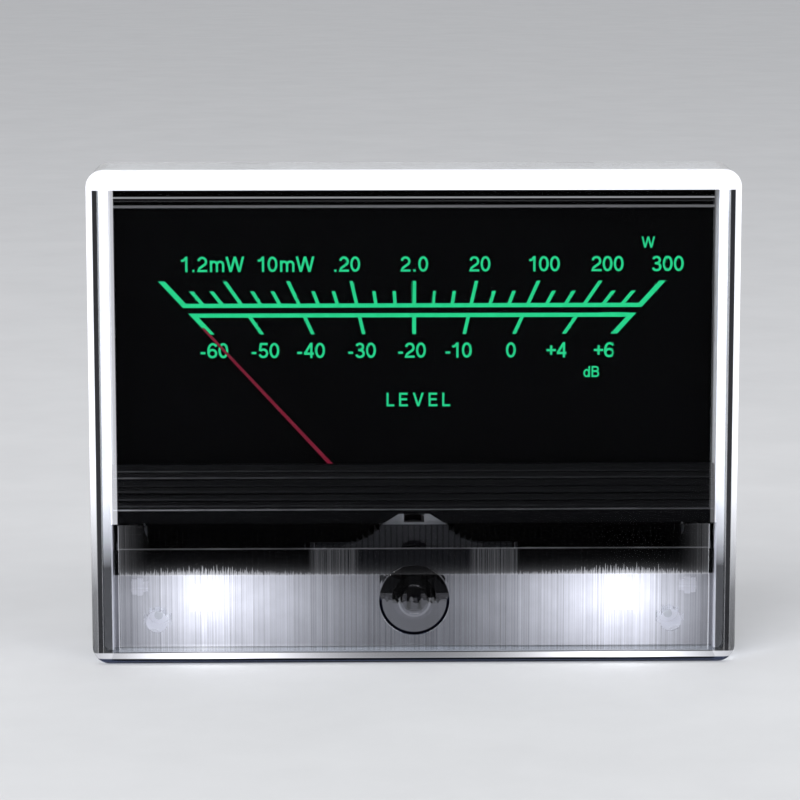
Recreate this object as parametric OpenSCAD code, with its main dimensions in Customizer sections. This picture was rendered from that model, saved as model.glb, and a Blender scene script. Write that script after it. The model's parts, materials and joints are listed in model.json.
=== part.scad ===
/* [Front cover] */
// Width of the clear cover, left to right
cover_w = 134; // [130:1:150]
// Height of the clear cover
cover_h = 103; // [101:1:116]
// Depth of the clear cover, from the panel to its front face
cover_depth = 19; // [18.5:0.5:22]
// Thickness of the front plate
cover_front = 2.4; // [2:0.1:2.8]
// Thickness of the side walls
cover_wall = 2.2; // [1.8:0.1:2.4]
// Radius of the four outer corners
cover_corner_r = 3.6; // [3:0.1:5]
// Radius of the front edge all round
cover_edge_r = 1.2; // [0.8:0.1:1.6]
// Distance between two flutes of the lower window
flute_pitch = 1.2; // [1:0.1:2]
// Depth of the flutes
flute_depth = 0.35; // [0.25:0.05:0.4]
// Height of the shallow step round the upper window
window_step = 0.5; // [0.3:0.1:0.7]
// Radius of the posts that take the cover screws
cover_post_r = 2.3; // [2.2:0.1:2.5]

/* [Rear case] */
// Clearance between the case and the inside of the cover
case_gap = 0.2; // [0.1:0.05:0.3]
// Thickness of the flange that seats on the panel
flange_t = 2.5; // [2.2:0.1:3.2]
// Thickness of the white rail that frames the dial
rail_t = 1.9; // [1.7:0.1:2.1]
// Height of the rear tub
tub_h = 66; // [65:1:72]
// Depth of the rear tub behind the panel
tub_depth = 17; // [16:0.5:24]
// Wall of the rear tub
tub_wall = 1.8; // [1.5:0.1:2]
// Radius of the mounting studs and terminal posts
stud_r = 1.5; // [1.25:0.25:1.5]
// Length of the mounting studs behind the panel
stud_len = 14; // [8:1:20]
// Distance of the mounting studs from the inside of the rails
stud_inset = 3.2; // [3:0.1:3.6]
// Distance between the two terminal posts
terminal_span = 28; // [20:1:40]

/* [Dial] */
// Thickness of the dial plate
dial_t = 0.8; // [0.6:0.1:1]
// Thickness of the light guide behind the dial
guide_t = 2; // [1.5:0.1:2.4]
// Height of the scale's long bar above the pivot
scale_rise = 52; // [50:0.2:54]
// Half length of the scale, as the tangent of its end angle
scale_reach = 0.92; // [0.85:0.01:0.95]
// Width of the two long bars of the scale
scale_bar_w = 0.95; // [0.7:0.05:1.1]
// Height of the hood's top edge above the pivot
hood_rise = 19.1; // [18.6:0.1:19.6]
// Thickness of the hood
hood_t = 1.2; // [1:0.1:1.4]

/* [Movement] */
// Height of the pointer pivot above the cover's lower edge
pivot_rise = 22.1; // [21.5:0.1:23]
// Angle of the resting pointer to the left of upright
rest_angle = 42.6; // [40:0.2:45]
// Swing of the pointer past the rest mark, to the left stop
under_swing = 3; // [2:0.5:4]
// Swing of the pointer from the rest mark to the right stop
full_swing = 88; // [84:1:90]
// Length of the pointer from its pivot
pointer_len = 64.7; // [62:0.1:66]
// Width of the pointer at its root
pointer_root_w = 0.9; // [0.8:0.1:1.2]
// Width of the pointer at its tip
pointer_tip_w = 0.45; // [0.3:0.05:0.6]
// Outer radius of the soft iron yoke ring
yoke_r = 12; // [11.6:0.1:12.2]
// Inner radius of the yoke ring
yoke_bore_r = 8.5; // [8.3:0.1:8.8]
// Length of the yoke ring along the pivot
yoke_len = 8; // [7:0.5:9]
// Radius of the core magnet
core_r = 5.5; // [5:0.1:5.6]
// Thickness of the coil winding
winding_t = 0.9; // [0.6:0.1:1]
// Width of the moving coil, across its sides
coil_w = 3; // [2.4:0.1:3.4]
// Radius of the pivot pins that run in the jewels
pivot_pin_r = 0.38; // [0.3:0.02:0.46]
// Running clearance of pins in their bores
run_gap = 0.06; // [0.03:0.01:0.09]
// Turns of each hairspring
spring_turns = 4; // [3:1:4]
// Outer radius of each hairspring
spring_r = 4.6; // [4.4:0.1:4.8]
// Length of the balance weight on the pointer's tail
tail_weight_len = 4.3; // [3.6:0.1:5]

/* [Zero adjuster] */
// Distance from the pivot down to the adjuster's axis
adjuster_drop = 8.6; // [8.2:0.1:9]
// Radius of the adjuster's clear head
adjuster_r = 7.3; // [6.6:0.1:7.4]
// Height of the adjuster's head
adjuster_head_t = 2; // [1.8:0.1:2.4]
// Radius of the adjuster's stem
stem_r = 2.5; // [2.3:0.1:2.8]
// Distance of the eccentric pin from the adjuster's axis
pin_offset = 1.5; // [1:0.1:1.6]
// Radius of the eccentric pin
pin_r = 0.6; // [0.5:0.05:0.65]

/* [Lamps] */
// Height of the lamps above the cover's lower edge
lamp_rise = 13; // [12:0.1:14]
// Size of the square lamp bodies
lamp_size = 5; // [4:0.5:5.5]
// Width of the lamp boards
board_w = 14; // [13:0.5:15]
// Height of the lamp boards
board_h = 9; // [8:0.5:10]

/* [Hidden] */
$fn = 64;

// Small overrun of a cutting tool past a face
over = 0.5;
// Gap left between pieces that move past each other
clear_gap = 0.3;

// Levels along Y, from the front face back to the panel and the tub
front_y = -cover_depth;
inside_y = front_y + cover_front;
rail_depth = 1.6;
rail_y = inside_y + rail_depth;
lever_t = 0.5;
lever_depth = 1.7;
lever_y = inside_y + lever_depth;
bridge_t = 1;
bridge_gap = 0.2;
bridge_y = lever_y + lever_t + bridge_gap;
bridge_back = bridge_y + bridge_t;
reflector_t = 0.8;
reflector_depth = 3.7;
reflector_y = inside_y + reflector_depth;
reflector_back = reflector_y + reflector_t;
spring_h = 0.4;
spring_gap = 0.7;
front_spring_y = bridge_back + spring_gap;
boss_gap = 0.5;
boss_y = front_spring_y + spring_h + boss_gap;
boss_len = 2;
boss_front_len = 0.6;
pointer_y = boss_y + boss_front_len;
pointer_t = 0.3;
pointer_room = 1.5;
frame_y = pointer_y + pointer_t + pointer_room;
frame_t = 2;
frame_back = frame_y + frame_t;
dial_inset = 0.3;
dial_y = frame_y + dial_inset;
dial_back = dial_y + dial_t;
guide_back = dial_back + guide_t;
tub_floor_y = tub_depth - tub_wall;

// Outlines of the case and of the space inside its rails
case_w = cover_w - 2 * (cover_wall + case_gap);
case_h = cover_h - 2 * (cover_wall + case_gap);
well_w = case_w - 2 * rail_t;
well_h = case_h - 2 * rail_t;
well_gap = 0.2;

// Pivot of the pointer and axis of the adjuster
low_z = -cover_h / 2;
pivot_z = low_z + pivot_rise;
adjuster_z = pivot_z - adjuster_drop;

// Moving coil movement
core_overhang = 0.5;
core_len = yoke_len + 2 * core_overhang;
former_gap = 0.6;
former_t = 0.3;
// The coil's front end lies just behind the front face of the frame
coil_y = frame_back - 0.1;
yoke_y = coil_y + winding_t + former_t + former_gap + core_overhang;
core_y = yoke_y - core_overhang;
former_y = core_y - former_gap - former_t;
former_len = core_len + 2 * (former_gap + former_t);
coil_back = former_y + former_len + winding_t;
former_r = core_r + 0.7;
frame_rim_t = 2;
frame_rim_gap = 0.05;
spindle_r = 0.6;
collet_r = 1.1;
base_r = 1.6;
base_t = 0.4;
boss_r = 1.9;
jewel_r = 1.8;
jewel_cup = 0.8;
jewel_gap = 0.2;
jewel_front_gap = 1;
pin_play = 0.2;
lock_nut_t = 0.4;
lock_nut_r = 2.9;
rear_spring_gap = 1.3;
rear_spring_y = coil_back + rear_spring_gap;
rear_bridge_gap = 3.3;
rear_bridge_y = coil_back + rear_bridge_gap;
rear_jewel_len = 2.6;
leg_r = 1.7;
leg_x = 12.5;
leg_z = pivot_z - 1.1;
rear_leg_r = 1.4;
rear_leg_x = (yoke_r + yoke_bore_r) / 2;
balance_y = pointer_y + pointer_t + 0.3;
balance_wire_r = 0.3;
weight_r = 1.15;
tail_weight_at = 4.8;
side_weight_len = 1.6;
side_weight_at = 6;
arm_end_gap = 0.2;
frame_post_x = 18.5;
frame_post_z = pivot_z - 1.1;
frame_post_r = 2.6;
frame_half_w = 21.3;
foot_rise = 1.4;
frame_foot_top = pivot_z + foot_rise;
foot_drop = 4.2;
frame_foot_low = pivot_z - foot_drop;
bell_r = 10.5;
bell_x = 14.9;
bell_z = frame_foot_top + bell_r;
bell_rise = 9.7;
bell_top = pivot_z + bell_rise;
skirt_rise = 2.5;
skirt_top = pivot_z + skirt_rise;

// Hood in front of the movement, given from the side
hood_top_z = pivot_z + hood_rise;
hood_drop = 8.7;
hood_lip = 3.1;
hood_slope_z = hood_top_z - hood_drop;
hood_low_z = hood_slope_z - hood_lip;
hood_front_gap = 0.6;
hood_front_y = inside_y + hood_front_gap;
hood_lean = 2.8;
hood_top_y = hood_front_y + hood_lean;
hood_half_w = well_w / 2 - well_gap;
hood_grooves = 5;
hood_groove_w = 0.35;
hood_groove_d = 0.25;
hood_post_inset = 4.2;
hood_post_x = well_w / 2 - hood_post_inset;
hood_post_drop = 2.4;
hood_post_z = hood_low_z - hood_post_drop;
hood_ear_t = 1;
hood_ear_y = hood_top_y + hood_t - hood_ear_t;

// Case posts and screws
post_r = 2.2;
dial_post_inset = 5.7;
dial_post_x = well_w / 2 - dial_post_inset;
dial_post_drop = 5.1;
dial_post_z = hood_top_z - dial_post_drop;
guide_foot = 2.1;
guide_low_z = hood_top_z - guide_foot;
reflector_post_inset = 5.2;
reflector_post_x = well_w / 2 - reflector_post_inset;
reflector_post_drop = 6.6;
reflector_post_z = pivot_z - reflector_post_drop;
screw_r = 0.9;
screw_bite = 4;
screw_head_r = 1.8;
screw_head_t = 0.9;
// Twice the depth and the width of a screw's slot
screw_slot = [0.7, 0.5];
cover_post_inset = 9.1;
cover_post_x = well_w / 2 - cover_post_inset;
cover_post_rise = 8.6;
cover_post_z = low_z + cover_post_rise;
cover_screw_head_r = 2.4;
cover_screw_head_t = 1.3;
cross_slot = [2.8, 1.4, 0.6];
stud_x = well_w / 2 - stud_inset;
stud_z = well_h / 2 - stud_inset;
stud_head_r = 2.5;
stud_head_t = 1.2;
// The studs have a wider pressed shoulder where they pass through the flange
stud_shoulder_r = stud_r + 0.4;
tub_side_gap = 1.2;
tub_w = 2 * (cover_post_x - cover_screw_head_r - tub_side_gap);
tub_rim_gap = 0.75;
tub_low_z = pivot_z - yoke_r - frame_rim_gap - frame_rim_t - tub_rim_gap - tub_wall;
tub_z = tub_low_z + tub_h / 2;
terminal_inset = 14;
terminal_z = tub_low_z + tub_h - terminal_inset;
terminal_head_t = 1.6;
terminal_head_r = 2.9;
terminal_reach = 11;
washer_r = 3.2;
washer_t = 0.5;
lug_t = 0.6;
nut_t = 2.4;
nut_r = 3.2;

// Upper and lower windows of the cover
window_top = well_h / 2 - 1.7;
window_side = 1.3;
window_half_w = well_w / 2 - window_side;
bead_z = window_top - 1.8;
bead_w = 0.45;
bead_h = 0.3;
flute_top = hood_low_z - 0.3;
flute_low = low_z + cover_wall + 0.2;
flute_half_w = well_w / 2;
hook_x = 30;
hook_w = 8;
hook_t = 1.1;
hook_reach = 1.3;
hook_gap = 0.2;

// Zero adjuster, from its domed head back to its eccentric pin
head_sink = 1;
head_gap = 0.1;
head_back = front_y + head_sink - head_gap;
head_front = head_back - adjuster_head_t;
head_dome_r = 30;
slot_w = 2;
slot_l = 5.4;
slot_d = 1;
clip_t = 0.5;
clip_y = inside_y + 0.15;
clip_r = 4.4;
stem_end = lever_y - 0.5;
pin_end = lever_y + lever_t + 0.3;
pin_z = adjuster_z - pin_offset;
fork_gap = 0.1;
lever_hub_r = 3.4;
lever_arm_w = 2.8;
tab_w = 1;
tab_r = spring_r + 0.1;

// Scale, drawn on straight bars with ticks that point at the pivot
scale_z = pivot_z + scale_rise;
scale_low_z = scale_z - 1.9;
scale_t = 0.12;
scale_steps = 24;
scale_major = 3;
tick_w = 0.6;
end_tick_w = 1.1;
major_rise = 5.5;
minor_rise = 3.1;
low_drop = 4.2;

// Lamps and their reflector
reflector_drop = 3.5;
reflector_top = pivot_z - reflector_drop;
reflector_low = -case_h / 2 + well_gap;
reflector_half_w = well_w / 2 - well_gap;
reflector_notch_w = 13.2;
baffle_t = 0.4;
baffle_gap = 0.15;
baffle_y = inside_y + flute_depth + baffle_gap;
baffle_rise = 1.7;
baffle_top = pivot_z + baffle_rise;
baffle_back = baffle_y + baffle_t;
lamp_x = cover_post_x - cover_post_r - clear_gap - board_w / 2;
lamp_z = low_z + lamp_rise;
lamp_t = 1.6;
lamp_gap = 0.4;
board_t = 0.8;
board_gap = 1.2;
board_y = reflector_back + board_gap;
lamp_y = board_y - lamp_t;
stake_r = 0.6;
stake_dx = board_w / 2 - 1.6;
resistor = [3.2, 0.6, 1.6];
resistor_dz = board_h / 2 - 1;
header_inset = 10;
header_x = lamp_x - header_inset;
header_w = 7.5;
header_h = 5;
header_len = 6;
header_base = 2;
lead_r = 0.45;

// Solid between two levels along Y, drawn in X and Z
module slab(y0, y1) {
    translate([0, y1, 0])
        rotate([90, 0, 0])
            linear_extrude(height = y1 - y0)
                children();
}

// Round bar along Y between two levels
module bar(r, y0, y1, x = 0, z = 0) {
    translate([x, y1, z])
        rotate([90, 0, 0])
            cylinder(r = r, h = y1 - y0);
}

// Tube along Y between two levels
module tube(r, bore_r, y0, y1, x = 0, z = 0) {
    difference() {
        bar(r, y0, y1, x, z);
        bar(bore_r, y0 - over, y1 + over, x, z);
    }
}

// Rectangle with round corners, centred
module round_rect(w, h, r) {
    square([w - 2 * r, h], center = true);
    square([w, h - 2 * r], center = true);
    for (x = [-1, 1], z = [-1, 1]) {
        translate([x * (w / 2 - r), z * (h / 2 - r)])
            circle(r = r);
    }
}

// Plain rectangle from its edges
module edges(left, right, low, high) {
    translate([left, low])
        square([right - left, high - low]);
}

// The same piece on the left and on the right
module both_sides() {
    for (side = [0, 1]) {
        mirror([side, 0, 0])
            children();
    }
}

// A piece of the pointer assembly, drawn upright at its pivot and turned to rest
module swung() {
    translate([0, 0, pivot_z])
        rotate([0, -rest_angle, 0])
            children();
}

// Pan head screw along +Y, with its head in front of a seat
module screw(x, z, seat_y, length) {
    difference() {
        union() {
            bar(screw_head_r, seat_y - screw_head_t, seat_y, x, z);
            bar(screw_r, seat_y - over / 5, seat_y + length, x, z);
        }
        translate([x, seat_y - screw_head_t, z])
            cube([2 * screw_head_r + over, screw_slot[0], screw_slot[1]], center = true);
    }
}

// Insulated wire through a list of points
module wire(points, r) {
    for (i = [0 : len(points) - 2]) {
        step = points[i + 1] - points[i];
        translate(points[i])
            rotate([0, acos(step[2] / norm(step)), atan2(step[1], step[0])])
                cylinder(r = r, h = norm(step), $fn = 16);
    }
    for (i = [1 : len(points) - 2]) {
        translate(points[i])
            sphere(r = 1.1 * r, $fn = 24);
    }
}

// Outer form of the cover: round corners and a rounded front edge
module cover_form() {
    w = cover_w;
    h = cover_h;
    e = cover_edge_r;
    c = cover_corner_r;
    slab(front_y + e, 0)
        round_rect(w, h, c);
    slab(front_y, front_y + e + over)
        round_rect(w - 2 * e, h - 2 * e, c - e);
    for (z = [-1, 1]) {
        translate([-w / 2 + c, front_y + e, z * (h / 2 - e)])
            rotate([0, 90, 0])
                cylinder(r = e, h = w - 2 * c);
    }
    for (x = [-1, 1]) {
        translate([x * (w / 2 - e), front_y + e, -h / 2 + c])
            cylinder(r = e, h = h - 2 * c);
    }
    for (x = [-1, 1], z = [-1, 1]) {
        translate([x * (w / 2 - c), front_y + e, z * (h / 2 - c)])
            rotate([90, 0, 0])
                rotate_extrude()
                    intersection() {
                        translate([c - e, 0])
                            circle(r = e);
                        translate([0, -e])
                            square([c, 2 * e]);
                    }
    }
}

// Ribbed lens of the lower window, as half round bars side by side
module flutes() {
    count = floor(flute_half_w / flute_pitch);
    // Radius of a bar whose segment is one pitch wide and one flute deep
    flute_r = (pow(flute_pitch / 2, 2) + pow(flute_depth, 2)) / (2 * flute_depth);
    slab(inside_y - over / 5, inside_y + flute_depth / 4)
        edges(-flute_half_w, flute_half_w, flute_low, flute_top);
    for (i = [-count : count - 1]) {
        translate([(i + 0.5) * flute_pitch, inside_y + flute_depth - flute_r, flute_low])
            intersection() {
                cylinder(r = flute_r, h = flute_top - flute_low);
                translate([-flute_pitch / 2, flute_r - flute_depth - over / 5, 0])
                    cube([flute_pitch, flute_depth + over, flute_top - flute_low]);
            }
    }
}

module front_cover() {
    color([0.9, 0.94, 1, 0.35])
    difference() {
        union() {
            difference() {
                cover_form();
                slab(inside_y, over)
                    round_rect(cover_w - 2 * cover_wall, cover_h - 2 * cover_wall,
                        cover_corner_r - cover_wall);
                slab(inside_y - window_step, inside_y + over)
                    edges(-window_half_w, window_half_w, hood_slope_z, window_top);
            }
            slab(inside_y - window_step - over / 5, inside_y - window_step + bead_h)
                edges(-window_half_w, window_half_w, bead_z - bead_w, bead_z);
            difference() {
                flutes();
                bar(adjuster_r + over, front_y, 0, 0, adjuster_z);
            }
            both_sides() {
                bar(cover_post_r, inside_y - over / 5, -flange_t, cover_post_x, cover_post_z);
                slab(-flange_t + hook_t + hook_gap, 0)
                    edges(hook_x, hook_x + hook_w, cover_h / 2 - cover_wall - hook_reach,
                        cover_h / 2 - cover_wall + over / 5);
            }
        }
        bar(adjuster_r + clear_gap / 2, front_y - over, front_y + head_sink, 0, adjuster_z);
        bar(stem_r + run_gap, front_y, inside_y + over, 0, adjuster_z);
        both_sides()
            bar(screw_r, -flange_t - screw_bite, over, cover_post_x, cover_post_z);
    }
}

module rear_case() {
    color([0.93, 0.94, 0.95])
    difference() {
        union() {
            slab(-flange_t, 0)
                round_rect(case_w, case_h, cover_corner_r - cover_wall);
            slab(rail_y, 0)
                difference() {
                    round_rect(case_w, case_h, cover_corner_r - cover_wall);
                    square([well_w, well_h], center = true);
                }
            slab(-flange_t, tub_depth)
                translate([0, tub_z])
                    round_rect(tub_w, tub_h, 2);
            case_ledges();
            both_sides() {
                bar(post_r, dial_back, 0, dial_post_x, dial_post_z);
                bar(post_r, hood_ear_y + hood_ear_t, 0, hood_post_x, hood_post_z);
                bar(post_r, reflector_back, 0, reflector_post_x, reflector_post_z);
            }
        }
        difference() {
            slab(-flange_t - over, tub_floor_y)
                translate([0, tub_z])
                    square([tub_w - 2 * tub_wall, tub_h - 2 * tub_wall], center = true);
            both_sides()
                bar(frame_post_r, frame_back, tub_depth, frame_post_x, frame_post_z);
        }
        case_holes();
        // The lower rail is cut back to carry the foot of the reflector
        slab(rail_y - over, reflector_back)
            edges(-well_w / 2, well_w / 2, -case_h / 2 - over, -well_h / 2 + over);
    }
    color([0.93, 0.94, 0.95])
    both_sides()
        difference() {
            bar(frame_post_r, frame_back, tub_floor_y + over / 5, frame_post_x, frame_post_z);
            bar(screw_r, frame_back - over, frame_back + screw_bite, frame_post_x, frame_post_z);
        }
}

// Ledges inside the rails that carry the light guide
module case_ledges() {
    ledge = 2.4;
    slab(guide_back, 0)
        edges(-well_w / 4, well_w / 4, well_h / 2 - ledge, well_h / 2 + over / 5);
    both_sides() {
        slab(guide_back, 0)
            edges(well_w / 2 - ledge, well_w / 2 + over / 5, 0, well_h / 3);
        slab(guide_back, 0)
            edges(dial_post_x - post_r - 0.8, dial_post_x, guide_low_z, guide_low_z + ledge);
    }
}

// Holes of the rear case, from the flange to the tub's back wall
module case_holes() {
    both_sides() {
        bar(screw_r, dial_back - over, dial_back + screw_bite, dial_post_x, dial_post_z);
        bar(screw_r, reflector_y, reflector_back + screw_bite, reflector_post_x,
            reflector_post_z);
        bar(screw_r, hood_ear_y, hood_ear_y + hood_ear_t + screw_bite, hood_post_x, hood_post_z);
        bar(screw_r + run_gap, -flange_t - over, over, cover_post_x, cover_post_z);
        bar(cover_screw_head_r + run_gap, -cover_screw_head_t, over, cover_post_x, cover_post_z);
        slab(-flange_t + hook_t, over)
            edges(hook_x - hook_gap, hook_x + hook_w + hook_gap,
                case_h / 2 - hook_reach - hook_gap, case_h / 2 + over);
        for (z = [-1, 1]) {
            bar(stud_shoulder_r, -flange_t - over, over, stud_x, z * stud_z);
        }
        bar(stud_r, tub_floor_y - over, tub_depth + over, terminal_span / 2, terminal_z);
    }
    slab(tub_floor_y - over, tub_depth + over)
        edges(header_x - header_w / 2, header_x + header_w / 2,
            lamp_z - header_h / 2, lamp_z + header_h / 2);
}

// Outline of the movement frame: a bell on a broad foot
module frame_outline(grow = 0) {
    difference() {
        edges(-bell_x - grow, bell_x + grow, frame_foot_low - grow, bell_top + grow);
        for (side = [-1, 1]) {
            translate([side * (bell_x + grow), bell_z + grow])
                circle(r = bell_r);
        }
    }
    edges(-frame_half_w - grow, frame_half_w + grow, frame_foot_low - grow,
        frame_foot_top + grow);
}

module dial_plate() {
    half_w = well_w / 2 - well_gap;
    foot_z = reflector_top + well_gap;
    frame_gap = 0.4;
    color([0.02, 0.02, 0.025])
    difference() {
        slab(dial_y, dial_back)
            edges(-half_w, half_w, foot_z, well_h / 2 - well_gap);
        slab(dial_y - over, dial_back + over) {
            frame_outline(frame_gap);
            for (side = [-1, 1]) {
                translate([side * hood_post_x, hood_post_z])
                    circle(r = post_r + well_gap);
                translate([side * dial_post_x, dial_post_z])
                    circle(r = screw_r + run_gap);
                translate([side * stop_x(), stop_z()])
                    circle(r = stop_r);
            }
        }
    }
}

// Mark that points at the pivot, from one height above it to another
module tick(reach, low, high, w) {
    angle = atan(reach);
    translate([0, pivot_z])
        rotate(-angle)
            edges(-w / 2, w / 2, low / cos(angle), high / cos(angle));
}

module scale_marks() {
    bar_reach = scale_reach * scale_rise;
    low_rise = scale_low_z - pivot_z;
    color([0.12, 0.8, 0.5])
    slab(dial_y - scale_t, dial_y) {
        edges(-bar_reach, bar_reach, scale_z - scale_bar_w / 2, scale_z + scale_bar_w / 2);
        edges(-scale_reach * low_rise, scale_reach * low_rise,
            scale_low_z - scale_bar_w / 2, scale_low_z + scale_bar_w / 2);
        for (i = [1 : scale_steps - 1]) {
            reach = scale_reach * (2 * i / scale_steps - 1);
            major = i % scale_major == 0;
            rise = major ? major_rise : minor_rise;
            tick(reach, scale_rise, scale_rise + rise, tick_w);
            if (major) {
                tick(reach, low_rise - low_drop, low_rise, tick_w);
            }
        }
        for (side = [-1, 1]) {
            tick(side * scale_reach, scale_rise - scale_bar_w / 2, scale_rise + major_rise,
                end_tick_w);
            tick(side * scale_reach, low_rise - low_drop, low_rise + scale_bar_w / 2,
                end_tick_w);
        }
    }
}

module light_guide() {
    color([0.85, 0.95, 0.9])
    slab(dial_back, guide_back)
        edges(-well_w / 2 + well_gap, well_w / 2 - well_gap, guide_low_z,
            well_h / 2 - well_gap);
}

// Side view of the hood: grooved slope, front lip, and the same back again
module hood_profile() {
    run = [hood_front_y - hood_top_y, hood_slope_z - hood_top_z];
    along = run / norm(run);
    inward = [-along[1], along[0]];
    pitch = norm(run) / (hood_grooves + 1);
    grooves = [
        for (i = [1 : hood_grooves], p = [[-0.5, 0], [0, 1], [0.5, 0]])
            [hood_top_y, hood_top_z] + along * (i * pitch + p[0] * hood_groove_w)
                + inward * p[1] * hood_groove_d
    ];
    polygon(concat(
        [[hood_top_y, hood_top_z]],
        grooves,
        [
            [hood_front_y, hood_slope_z],
            [hood_front_y, hood_low_z],
            [hood_front_y + hood_t, hood_low_z],
            [hood_front_y + hood_t, hood_slope_z],
            [hood_top_y + hood_t, hood_top_z]
        ]
    ));
}

module movement_hood() {
    notch_top_w = 6.4;
    notch_low_w = 12.4;
    notch_h = 1.9;
    color([0.03, 0.03, 0.035])
    difference() {
        union() {
            translate([-hood_half_w, 0, 0])
                rotate([90, 0, 90])
                    linear_extrude(height = 2 * hood_half_w)
                        hood_profile();
            both_sides() {
                slab(hood_front_y + hood_t / 2, dial_y)
                    edges(hood_half_w - hood_t, hood_half_w, hood_slope_z - 1, hood_slope_z + 1);
                slab(hood_ear_y, hood_ear_y + hood_ear_t)
                    edges(hood_post_x - post_r, hood_half_w, hood_post_z - post_r,
                        hood_slope_z + 1);
            }
        }
        slab(hood_front_y - over, hood_front_y + hood_t + over)
            polygon([
                [-notch_low_w / 2, hood_low_z - over],
                [-notch_low_w / 2, hood_low_z],
                [-notch_top_w / 2, hood_low_z + notch_h],
                [notch_top_w / 2, hood_low_z + notch_h],
                [notch_low_w / 2, hood_low_z],
                [notch_low_w / 2, hood_low_z - over]
            ]);
        both_sides()
            bar(screw_r + run_gap, hood_ear_y - over, hood_ear_y + hood_ear_t + over,
                hood_post_x, hood_post_z);
    }
}

module lamp_reflector() {
    shelf_y = board_y + board_t;
    shelf_t = 0.5;
    color([0.96, 0.97, 1])
    difference() {
        union() {
            slab(reflector_y, reflector_back)
                edges(-reflector_half_w, reflector_half_w, reflector_low, reflector_top);
            both_sides() {
                slab(reflector_y, shelf_y)
                    edges(frame_half_w + 1.5, hood_post_x - post_r - 0.6,
                        reflector_top - shelf_t, reflector_top);
                for (dx = [-stake_dx, stake_dx]) {
                    bar(stake_r, reflector_y + over / 5, shelf_y + clear_gap,
                        lamp_x + dx, lamp_z);
                }
            }
        }
        slab(reflector_y - over, reflector_back + over)
            edges(-reflector_notch_w / 2, reflector_notch_w / 2, adjuster_z,
                reflector_top + over);
        both_sides() {
            slab(reflector_y - over, reflector_back + over)
                edges(lamp_x - lamp_size / 2 - lamp_gap,
                    lamp_x + lamp_size / 2 + lamp_gap,
                    lamp_z - lamp_size / 2 - lamp_gap, lamp_z + lamp_size / 2 + lamp_gap);
            bar(cover_post_r + clear_gap, reflector_y - over, reflector_back + over,
                cover_post_x, cover_post_z);
            bar(screw_r + run_gap, reflector_y - over, reflector_back + over,
                reflector_post_x, reflector_post_z);
        }
    }
}

// Black angles beside the movement that keep the lamps' light off the dial, each seated on
// the reflector's top edge
module light_baffle() {
    color([0.03, 0.03, 0.035])
    both_sides() {
        slab(baffle_y, baffle_back)
            edges(frame_half_w + well_gap, reflector_half_w, reflector_top, baffle_top);
        slab(baffle_back, reflector_back)
            edges(reflector_notch_w / 2, reflector_half_w, reflector_top,
                reflector_top + baffle_t);
    }
}

// Board with its two holes for the reflector's stakes
module lamp_board() {
    color([0.05, 0.3, 0.14])
    difference() {
        slab(board_y, board_y + board_t)
            edges(lamp_x - board_w / 2, lamp_x + board_w / 2,
                lamp_z - board_h / 2, lamp_z + board_h / 2);
        for (dx = [-stake_dx, stake_dx]) {
            bar(stake_r + run_gap, board_y - over, board_y + board_t + over,
                lamp_x + dx, lamp_z);
        }
    }
}

module lamp_board_left() {
    mirror([1, 0, 0])
        lamp_board();
}

module lamp_board_right() {
    lamp_board();
}

// White lamp body with a round well for its phosphor
module lamp() {
    well_r = lamp_size * 0.38;
    color([1, 0.98, 0.85])
    difference() {
        slab(lamp_y, board_y)
            edges(lamp_x - lamp_size / 2, lamp_x + lamp_size / 2,
                lamp_z - lamp_size / 2, lamp_z + lamp_size / 2);
        bar(well_r, lamp_y - over, lamp_y + lamp_t / 4, lamp_x, lamp_z);
    }
}

module lamp_left() {
    mirror([1, 0, 0])
        lamp();
}

module lamp_right() {
    lamp();
}

module lamp_resistors() {
    color([0.08, 0.08, 0.09])
    both_sides()
        translate([lamp_x - resistor[0] / 2, board_y - resistor[1],
                lamp_z + resistor_dz - resistor[2] / 2])
            cube(resistor);
}

module lamp_header() {
    base_y = tub_floor_y - header_base;
    wall = 0.7;
    pin = 0.64;
    pin_dx = 1.25;
    pin_len = 3;
    color([0.92, 0.9, 0.82])
    difference() {
        slab(base_y, base_y + header_len)
            edges(header_x - header_w / 2, header_x + header_w / 2,
                lamp_z - header_h / 2, lamp_z + header_h / 2);
        slab(tub_floor_y, base_y + header_len + over)
            edges(header_x - header_w / 2 + wall, header_x + header_w / 2 - wall,
                lamp_z - header_h / 2 + wall, lamp_z + header_h / 2 - wall);
    }
    color([0.8, 0.75, 0.55])
    for (dx = [-pin_dx, pin_dx]) {
        translate([header_x + dx - pin / 2, tub_floor_y - over / 5, lamp_z - pin / 2])
            cube([pin, pin_len, pin]);
    }
}

// Two pairs of thin wires from the boards back to the header, each in its own lane
module lamp_leads() {
    start_y = board_y + board_t;
    end_y = tub_floor_y - header_base;
    lane = 1.5;
    pad_gap = 2;
    low_row = 1.6;
    high_row = 0.4;
    for (i = [0 : 3]) {
        right = i < 2;
        x = header_x + (1.5 - i) * lane;
        board_x = right ? lamp_x - pad_gap * (1 + i) : pad_gap * (i - 1) - lamp_x;
        y = end_y - 1 - i * lane;
        z = lamp_z - (i == 3 ? high_row : low_row);
        color(right ? [0.75, 0.1, 0.1] : [0.12, 0.12, 0.13])
        wire([[board_x, start_y, z], [board_x, y, z], [x, y, z], [x, end_y, z]], lead_r);
    }
}

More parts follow.
